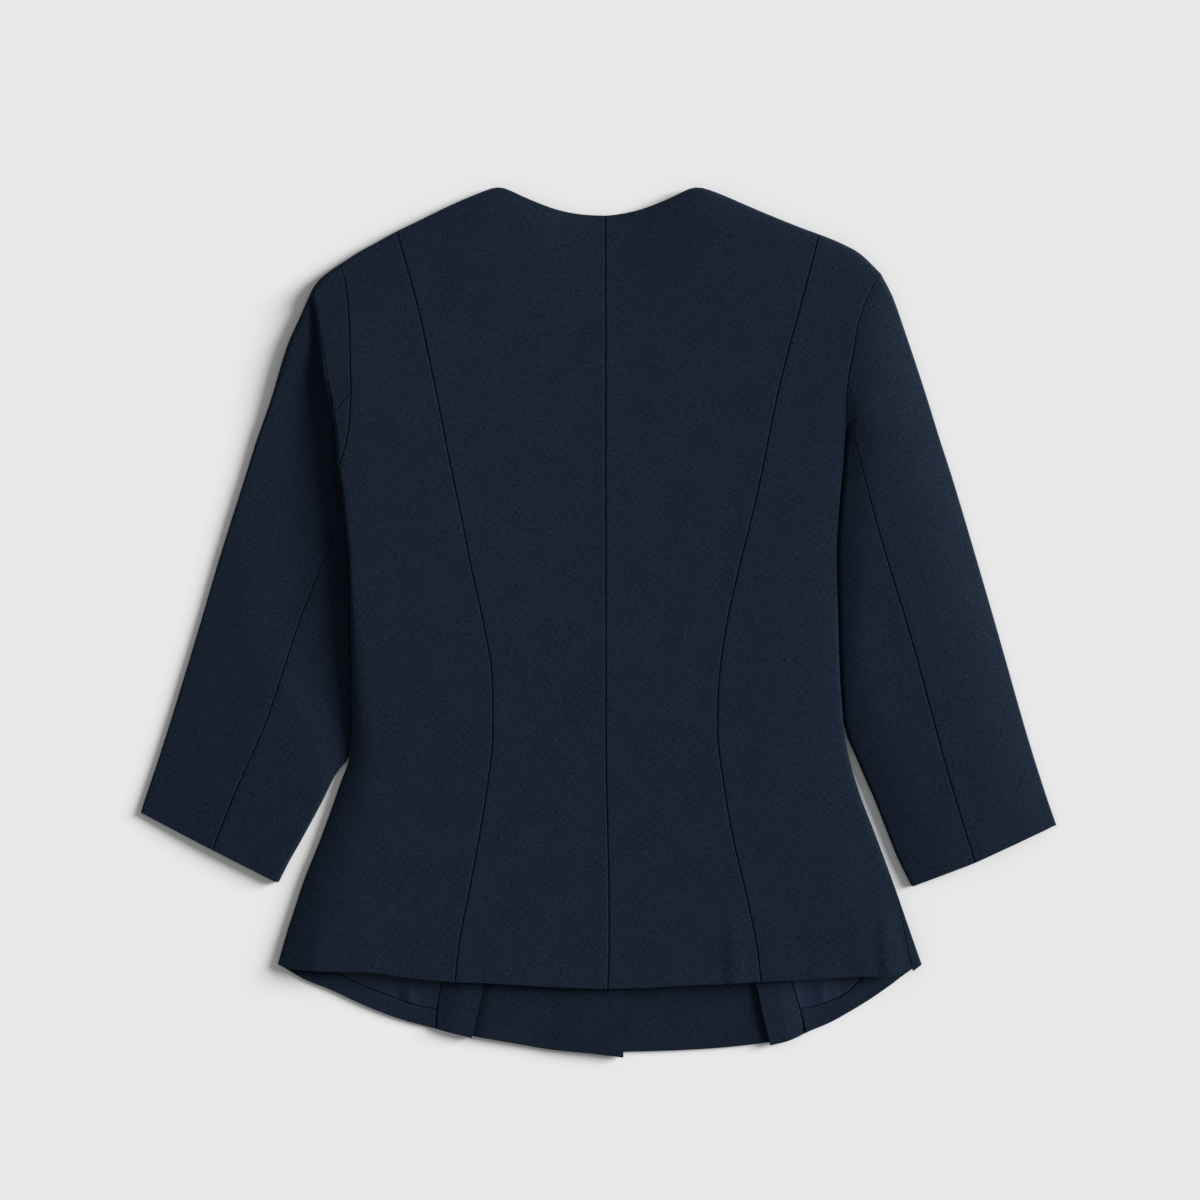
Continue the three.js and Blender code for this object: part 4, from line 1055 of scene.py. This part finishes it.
# Straight across a section, bowed with the armhole where the sleeve starts
def acrossSection(side, at, start, end, share):
    place = lerp(start, end, share[:, None])
    straight = lerp(read(side["edge"], start[1]), read(side["edge"], end[1]), share)
    bow = read(side["edge"], place[:, 1]) - straight
    place[:, 0] += (1 - smoothstep(at, 0, sleeveCut["curveGone"])) ** 2 * bow
    return place


# Shares across the top of a sleeve piece, close to its seam and to the head's fold
def topShares(side, at, start, end, count):
    length = np.linalg.norm(end - start)
    seamShares = np.array(borderSteps) / length
    if side["headFold"] is None:
        return np.concatenate([seamShares, np.linspace(seamShares[-1], 1, count + 1)[1:-1]])
    trial = np.linspace(0, 1, sleeveCut["headTrial"])
    place = acrossSection(side, at, start, end, trial)
    out = (place[:, 0] - read(side["headFold"], place[:, 1])) * side["sign"]
    i = max(np.argmax(out > 0), 1) if np.any(out > 0) else len(trial) - 1
    crossed = np.interp(0, out[i - 1:i + 1], trial[i - 1:i + 1])
    lowest = seamShares[-1] + sleeveCut["headFromSeam"] / length
    middle = np.clip(crossed, lowest, 1 - sleeveCut["headFromFold"] / length)
    near = middle + np.array(sleeveCut["nearHead"]) / length
    inside = np.linspace(seamShares[-1], near[0], sleeveCut["headInside"])[1:-1]
    beyond = np.linspace(near[-1], 1, count - sleeveCut["headBeyond"])[1:-1]
    return np.concatenate([seamShares, inside, near, beyond])


# part says which piece is made: the upper one round the outer fold or the under one round the inner
def sleevePiece(side, part, material):
    topCount = sleeveCut["topColumns"][part]
    underCount = sleeveCut["underColumns"][part]
    grids = ([], [])
    for at in shares(sleeveCut["length"], sleeveCut["rows"]):
        section = sleeveSection(side, at)
        fold = section["outer" if part == "upper" else "inner"]
        foldEnd = fold["point"] + fold["turn"] * fold["radius"]
        half = clothing["seamGap"] / 2
        topSeam = section["seam"] + unit(foldEnd - section["seam"]) * half
        underSeam = lerp(section["outer"]["point"], section["inner"]["point"], sleeveCut["frontSeamShare"])
        underSeam = underSeam + unit(foldEnd - underSeam) * half
        topPlan = acrossSection(side, at, topSeam, foldEnd, topShares(side, at, topSeam, foldEnd, topCount))
        turning = np.linspace(1, -1, sleeveCut["foldSteps"] + 1)
        underPlan = acrossSection(side, at, foldEnd, underSeam, np.linspace(0, 1, underCount + 1)[1:])
        for grid, inset in zip(grids, (0, clothing["wool"])):
            topZ = sleeveTop(side, topPlan[:, 0], topPlan[:, 1]) - inset
            girth = turning * fold["radius"] * math.pi / 2
            height = 2 * fold["radius"]
            away, foldZ = roundFold(girth, inset, fold["radius"], height, 1)
            _, outerZ = roundFold(girth, 0, fold["radius"], height, 1)
            foldPlan = fold["point"] + fold["turn"] * away[:, None]
            raised = sleeveTop(side, foldPlan[:, 0], foldPlan[:, 1]) / height - 1
            foldZ = foldZ + np.where(girth > 0, outerZ * raised, 0)
            plan = np.concatenate([topPlan, foldPlan, underPlan]) - planCentre
            z = np.concatenate([topZ, foldZ, np.full(len(underPlan), inset)])
            grid.append(np.concatenate([plan, z[:, None]], axis=-1))
    outer, inner = (np.array(grid) for grid in grids)
    finishSleeve(outer, inner)
    finishBorders(outer, inner, clothing["wool"], {"first": "seam"}, seamLook["sleeveStart"])
    return shell(f"{part}_sleeve_{side['name']}_wool", outer, inner, material, side["grain"])


# Armhole seam turned in and cuff edge rounded, each square to the cloth
def finishSleeve(outer, inner):
    run = runLength(outer, 0)
    upward = outer - inner
    upward = upward / np.linalg.norm(upward, axis=-1, keepdims=True)
    sink = upward * sleeveCut["sinkLean"] * seamSink(run)[..., None]
    outer -= sink
    inner -= sink
    fromCuff = run[-1:] - run
    drop = borderShift("turned", fromCuff, 0, clothing["wool"], 0)[1]
    outer -= upward * drop[..., None]
    inner += upward * drop[..., None]


# A number that varies over a surface, joined by ordinary sums
class Amount:
    def __init__(self, bench, socket):
        self.bench = bench
        self.socket = socket

    def __add__(self, other):
        return self.bench.sum("ADD", self, other)

    def __sub__(self, other):
        return self.bench.sum("SUBTRACT", self, other)

    def __rsub__(self, other):
        return self.bench.sum("SUBTRACT", other, self)

    def __mul__(self, other):
        return self.bench.sum("MULTIPLY", self, other)

    __radd__ = __add__
    __rmul__ = __mul__


# Adds nodes to the tree of a material or to one of geometry nodes
class Bench:
    def __init__(self, tree):
        self.tree = tree

    def node(self, kind, settings=None, values=None):
        made = self.tree.nodes.new(kind)
        for name, value in (settings or {}).items():
            setattr(made, name, value)
        self.fill(made, values or {})
        return made

    # Links the inputs whose values vary, and sets the others
    def fill(self, node, values):
        for name, value in values.items():
            if isinstance(value, Amount):
                value = value.socket
            if isinstance(value, bpy.types.NodeSocket):
                self.tree.links.new(value, node.inputs[name])
            else:
                node.inputs[name].default_value = value

    def sum(self, operation, *values):
        made = self.node("ShaderNodeMath", {"operation": operation}, dict(enumerate(values)))
        return Amount(self, made.outputs[0])

    def noise(self, place, stretch, scale, detail):
        mapped = self.node("ShaderNodeMapping", None, {"Vector": place, "Scale": stretch})
        settings = {"noise_dimensions": "3D"}
        values = {"Vector": mapped.outputs[0], "Scale": scale, "Detail": detail, "Roughness": 0.6}
        made = self.node("ShaderNodeTexNoise", settings, values)
        return Amount(self, made.outputs[0])

    def blend(self, share, first, second):
        values = {"Factor": share, 6: first, 7: second}  # 6 and 7 are the two colours
        return self.node("ShaderNodeMix", {"data_type": "RGBA"}, values).outputs[2]


woolLook = {
    "dark": (0.0, 0.0034, 0.0101, 1),
    "light": (0.0115, 0.0203, 0.0386, 1),
    "threads": 2100.0,  # to a metre
    "fleckScale": 1150.0,
    "slubScale": 1200.0,
    "cloudScale": 40.0,
    # How much each of these moves the colour from dark to light, and the level taken off their sum
    "fleck": 1.85,
    "slub": 0.88,
    "cloud": 0.25,
    "weave": 0.1,
    "level": 1.435,
    "roughness": 0.9,
    "specular": 0.12,
    "sheen": 0.1,
    "sheenRoughness": 0.32,
    "sheenTint": (0.42, 0.5, 0.68, 1),
    "fleckHeight": 0.6,  # beside the weave's
    "weaveDepth": 0.00012,
    "bump": 0.5,
}

satinLook = {
    "dark": (0.0049, 0.0104, 0.0244, 1),
    "light": (0.008, 0.0153, 0.0348, 1),
    "threads": 4200.0,
    "cloudScale": 120.0,
    "roughness": 0.42,
    "specular": 0.15,
    "ribHeight": 0.5,
    "ribDepth": 0.0001,
    "bump": 0.3,
}

threadLook = {
    "dark": (0.003, 0.0055, 0.013, 1),
    "light": (0.009, 0.015, 0.029, 1),
    "twistScale": 5000.0,
    "roughness": 0.6,
    "specular": 0.2,
    "lineStep": 0.002,  # between the points of a seam's line
    "pitch": 0.0025,  # from one stitch to the next
    "halfLength": 0.0009,
    "radius": 0.00013,
    "sunk": 0.00095,  # below the face of the cloth
}


def newMaterial(name):
    material = bpy.data.materials.new(name)
    material.use_nodes = True
    tree = material.node_tree
    return material, Bench(tree), tree.nodes["Principled BSDF"]


# Place on the cloth, then how far it lies across the grain and along it
def clothGrain(bench):
    grain = bench.node("ShaderNodeUVMap", {"uv_map": "grain"}).outputs[0]
    split = bench.node("ShaderNodeSeparateXYZ", None, {"Vector": grain})
    return grain, Amount(bench, split.outputs[0]), Amount(bench, split.outputs[1])


# A look's colours, from dark to light by share, all scaled by tone, which makes a copy painted darker as
# shade or brighter as light
def tonedBlend(bench, look, tone, share):
    dark, light = (tuple(channel * tone for channel in look[end][:3]) + (1,) for end in ("dark", "light"))
    return bench.blend(share, dark, light)


# Fine plain weave: warp and weft cross over and under, with flecks of lighter and darker fibre
def woolMaterial(name, tone):
    material, bench, shader = newMaterial(name)
    grain, x, y = clothGrain(bench)
    across = x * woolLook["threads"]
    up = y * woolLook["threads"]
    warp = bench.sum("ABSOLUTE", bench.sum("SINE", across * math.pi))
    weft = bench.sum("ABSOLUTE", bench.sum("SINE", up * math.pi))
    over = bench.sum("FLOORED_MODULO", bench.sum("FLOOR", across) + bench.sum("FLOOR", up), 2.0)
    weave = warp * over + weft * (1 - over)
    fleck = bench.noise(grain, (1, 1, 1), woolLook["fleckScale"], 1.0)
    slubUp = bench.noise(grain, (1, 0.25, 1), woolLook["slubScale"], 0.5)
    slubAcross = bench.noise(grain, (0.25, 1, 1), woolLook["slubScale"], 0.5)
    cloud = bench.noise(grain, (1, 1, 1), woolLook["cloudScale"], 2.0)
    mixed = fleck * woolLook["fleck"] + slubUp * woolLook["slub"] + slubAcross * woolLook["slub"]
    mixed = mixed + cloud * woolLook["cloud"] - woolLook["level"]
    mixed = mixed + weave * woolLook["weave"] - woolLook["weave"] / 2
    share = bench.node("ShaderNodeClamp", None, {"Value": mixed}).outputs[0]
    relief = {
        "Height": weave + fleck * woolLook["fleckHeight"], "Strength": woolLook["bump"],
        "Distance": woolLook["weaveDepth"],
    }
    bench.fill(shader, {
        "Base Color": tonedBlend(bench, woolLook, tone, share),
        "Roughness": woolLook["roughness"],
        "Specular IOR Level": woolLook["specular"],
        "Sheen Weight": woolLook["sheen"],
        "Sheen Roughness": woolLook["sheenRoughness"],
        "Sheen Tint": woolLook["sheenTint"],
        "Normal": bench.node("ShaderNodeBump", None, relief).outputs[0],
    })
    return material


def satinMaterial(name, tone):
    material, bench, shader = newMaterial(name)
    grain, x, _ = clothGrain(bench)
    ribs = bench.sum("SINE", x * (satinLook["threads"] * math.pi))
    cloud = bench.noise(grain, (1, 0.3, 1), satinLook["cloudScale"], 2.0)
    relief = {
        "Height": ribs * satinLook["ribHeight"] + cloud, "Strength": satinLook["bump"],
        "Distance": satinLook["ribDepth"],
    }
    bench.fill(shader, {
        "Base Color": tonedBlend(bench, satinLook, tone, cloud),
        "Roughness": satinLook["roughness"],
        "Specular IOR Level": satinLook["specular"],
        "Normal": bench.node("ShaderNodeBump", None, relief).outputs[0],
    })
    return material


# Twisted sewing thread
def threadMaterial(name):
    material, bench, shader = newMaterial(name)
    place = bench.node("ShaderNodeTexCoord").outputs["Object"]
    twist = bench.noise(place, (1, 1, 1), threadLook["twistScale"], 1.0)
    bench.fill(shader, {
        "Base Color": bench.blend(twist, threadLook["dark"], threadLook["light"]),
        "Roughness": threadLook["roughness"],
        "Specular IOR Level": threadLook["specular"],
    })
    return material


thread = threadMaterial("navy thread")
wool = woolMaterial("navy wool", 1.0)
# A copy of the wool painted darker, standing in for shade
woolPaintedShade = woolMaterial("navy wool with painted shade", 0.88)
left["satin"] = satinMaterial("navy satin", 1.0)
# A copy of the satin painted brighter, standing in for the light on the right lining
right["satin"] = satinMaterial("navy satin painted brighter as lit", 1.2)

# Each kind of piece: what makes it, the width, length and area of its flat cloth, and the kind that
# it lies on, where that isn't the floor
pieceKinds = {
    "back": (backPanel, 0.16, 0.6, 0.063, "front"),
    "side_back": (sideBack, 0.162, 0.562, 0.051, "side_front"),
    "side_front": (sideFront, 0.176, 0.61, 0.066, None),
    "front": (front, 0.16, 0.652, 0.064, None),
    "facing": (facing, 0.13, 0.09, 0.0075, "front"),
    "pleat_strip": (pleatStrip, 0.05, 0.075, 0.0022, "side_front"),
    "hem_band": (hemBand, 0.13, 0.03, 0.0018, "side_front"),
    "lining": (liningPiece, 0.12, 0.055, 0.0028, "side_front"),
    "upper_sleeve": (lambda side, material: sleevePiece(side, "upper", material), 0.19, 0.45, 0.06, None),
    "under_sleeve": (lambda side, material: sleevePiece(side, "under", material), 0.1, 0.37, 0.022, None),
}

for side in (left, right):
    for kind, (make, width, length, area, below) in pieceKinds.items():
        cloth = side["satin"] if kind == "lining" else wool
        piece = make(side, woolPaintedShade if kind in side["againstNap"] else cloth)
        node = f"{kind}_{side['name']}"
        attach(piece, "root")
        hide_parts(node)
    print("sewn:", side["name"], "side")


# A tree that lays one grain-shaped stitch after another along a line
def stitchTree():
    tree = bpy.data.node_groups.new("stitches", "GeometryNodeTree")
    named = (
        ("Seam", "NodeSocketGeometry"), ("Pitch", "NodeSocketFloat"), ("Half length", "NodeSocketFloat"),
        ("Radius", "NodeSocketFloat"), ("Thread", "NodeSocketMaterial"),
    )
    places = {}
    for name, kind in named:
        made = tree.interface.new_socket(name=name, in_out="INPUT", socket_type=kind)
        places[name] = made.identifier
    tree.interface.new_socket(name="Stitches", in_out="OUTPUT", socket_type="NodeSocketGeometry")
    bench = Bench(tree)
    given = bench.node("NodeGroupInput").outputs
    line = bench.node("GeometryNodeMeshToCurve", None, {"Mesh": given["Seam"]})
    values = {"Curve": line.outputs[0], "Length": given["Pitch"]}
    marks = bench.node("GeometryNodeResampleCurve", {"mode": "LENGTH"}, values)
    ball = bench.node("GeometryNodeMeshUVSphere", None, {"Segments": 6, "Rings": 4, "Radius": 1.0})
    values = {"X": given["Radius"], "Y": given["Radius"], "Z": given["Half length"]}
    size = bench.node("ShaderNodeCombineXYZ", None, values)
    values = {"Geometry": ball.outputs[0], "Scale": size.outputs[0]}
    grain = bench.node("GeometryNodeTransform", None, values)
    heading = bench.node("GeometryNodeInputTangent").outputs[0]
    turn = bench.node("FunctionNodeAlignRotationToVector", {"axis": "Z"}, {"Vector": heading})
    values = {"Points": marks.outputs[0], "Instance": grain.outputs[0], "Rotation": turn.outputs[0]}
    placed = bench.node("GeometryNodeInstanceOnPoints", None, values)
    real = bench.node("GeometryNodeRealizeInstances", None, {"Geometry": placed.outputs[0]})
    values = {"Geometry": real.outputs[0], "Material": given["Thread"]}
    finished = bench.node("GeometryNodeSetMaterial", None, values)
    bench.node("NodeGroupOutput", None, {0: finished.outputs[0]})
    return tree, places


# A seam's line on the cloth, as far below its face as the thread lies
def onCloth(x, y, height):
    return np.stack([x - planCentre[0], y - planCentre[1], height - threadLook["sunk"]], axis=1)


# How far each line of stitches stops from the lower and the upper end of its seam
stitchEnds = {
    "centre": (0.003, 0.002), "princess": (0.003, 0.009), "sleeve": (0.006, 0.001),
    "armhole": (0.002, 0.009),
}


def seamLine(seam, line, low, topAt):
    fromLow, fromHigh = stitchEnds[seam]
    y = np.arange(low + fromLow, line[-1][0] - fromHigh, threadLook["lineStep"])
    x = read(line, y)
    return onCloth(x, y, topAt(x, y))


def seamLines(side):
    def onSleeve(x, y):
        return sleeveTop(side, x, y)

    rows = (
        ("princess", side["princess"], side["princess"][0][0], bodyTop),
        ("sleeve", side["sleeveSeam"], side["sleeveSeam"][0][0], onSleeve),
        ("armhole", side["edge"], side["foldTop"][1], bodyTop),
    )
    return {seam: seamLine(seam, line, low, topAt) for seam, line, low, topAt in rows}


def sew(name, points, tree, places):
    mesh = bpy.data.meshes.new(name + "_line")
    mesh.from_pydata(points.tolist(), [(i, i + 1) for i in range(len(points) - 1)], [])
    line = newObject(name + "_line", mesh)
    modifier = line.modifiers.new("stitches", "NODES")
    modifier.node_group = tree
    for place, value in (("Pitch", "pitch"), ("Half length", "halfLength"), ("Radius", "radius")):
        modifier[places[place]] = threadLook[value]
    modifier[places["Thread"]] = thread
    finished = bpy.data.meshes.new_from_object(line.evaluated_get(bpy.context.evaluated_depsgraph_get()))
    line.modifiers.remove(modifier)
    bpy.data.objects.remove(line)
    shadeSmooth(finished)
    stitches = newObject(name, finished)
    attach(stitches, "root")


stitches, stitchPlaces = stitchTree()
centreLine = seamLine("centre", centreBack, centreBack[0][0], bodyTop)
sew("centre_back_stitches", centreLine, stitches, stitchPlaces)
for side in (left, right):
    for seam, points in seamLines(side).items():
        sew(f"{seam}_stitches_{side['name']}", points, stitches, stitchPlaces)
print("stitched: all seams")

studio = {
    "floorHalf": 6.0,
    "ground": 0.8,
    "groundRoughness": 0.95,
    "sunPower": 5.95,
    "sunSpread": math.radians(26),
    "sunAzimuth": math.radians(17),
    "sunHeight": math.radians(21.5),
    "sky": 0.325,
    "cameraHeight": 2.125,
    "cameraPlace": (0.0011, 0.0168),
    "lens": 85,  # millimetres, for a sensor of this width
    "sensor": 36,
}


def makeFloor():
    size = studio["floorHalf"]
    mesh = bpy.data.meshes.new("floor")
    corners = [(-size, -size, 0), (size, -size, 0), (size, size, 0), (-size, size, 0)]
    mesh.from_pydata(corners, [], [(0, 1, 2, 3)])
    floor = newObject("floor", mesh)
    material, bench, shader = newMaterial("pale ground")
    bench.fill(shader, {
        "Base Color": (studio["ground"],) * 3 + (1,),
        "Roughness": studio["groundRoughness"],
        "Specular IOR Level": 0,
    })
    mesh.materials.append(material)


def makeLight():
    lamp = bpy.data.lights.new("window", "SUN")
    lamp.energy = studio["sunPower"]
    lamp.angle = studio["sunSpread"]
    sun = newObject("window", lamp)
    azimuth = studio["sunAzimuth"]
    flat = math.cos(studio["sunHeight"])
    towards = Vector((flat * math.cos(azimuth), flat * math.sin(azimuth), math.sin(studio["sunHeight"])))
    sun.rotation_euler = towards.to_track_quat("Z", "Y").to_euler()
    world = bpy.data.worlds.new("studio")
    world.use_nodes = True
    background = world.node_tree.nodes["Background"]
    background.inputs["Color"].default_value = (1, 1, 1, 1)
    background.inputs["Strength"].default_value = studio["sky"]
    bpy.context.scene.world = world


def makeCamera():
    lens = bpy.data.cameras.new("overhead")
    lens.type = "PERSP"
    lens.lens = studio["lens"]
    lens.sensor_width = studio["sensor"]
    camera = newObject("overhead", lens)
    camera.location = (*studio["cameraPlace"], studio["cameraHeight"])
    bpy.context.scene.camera = camera


makeFloor()
makeLight()
makeCamera()
bpy.context.scene.view_settings.view_transform = "Standard"
print("studio ready")
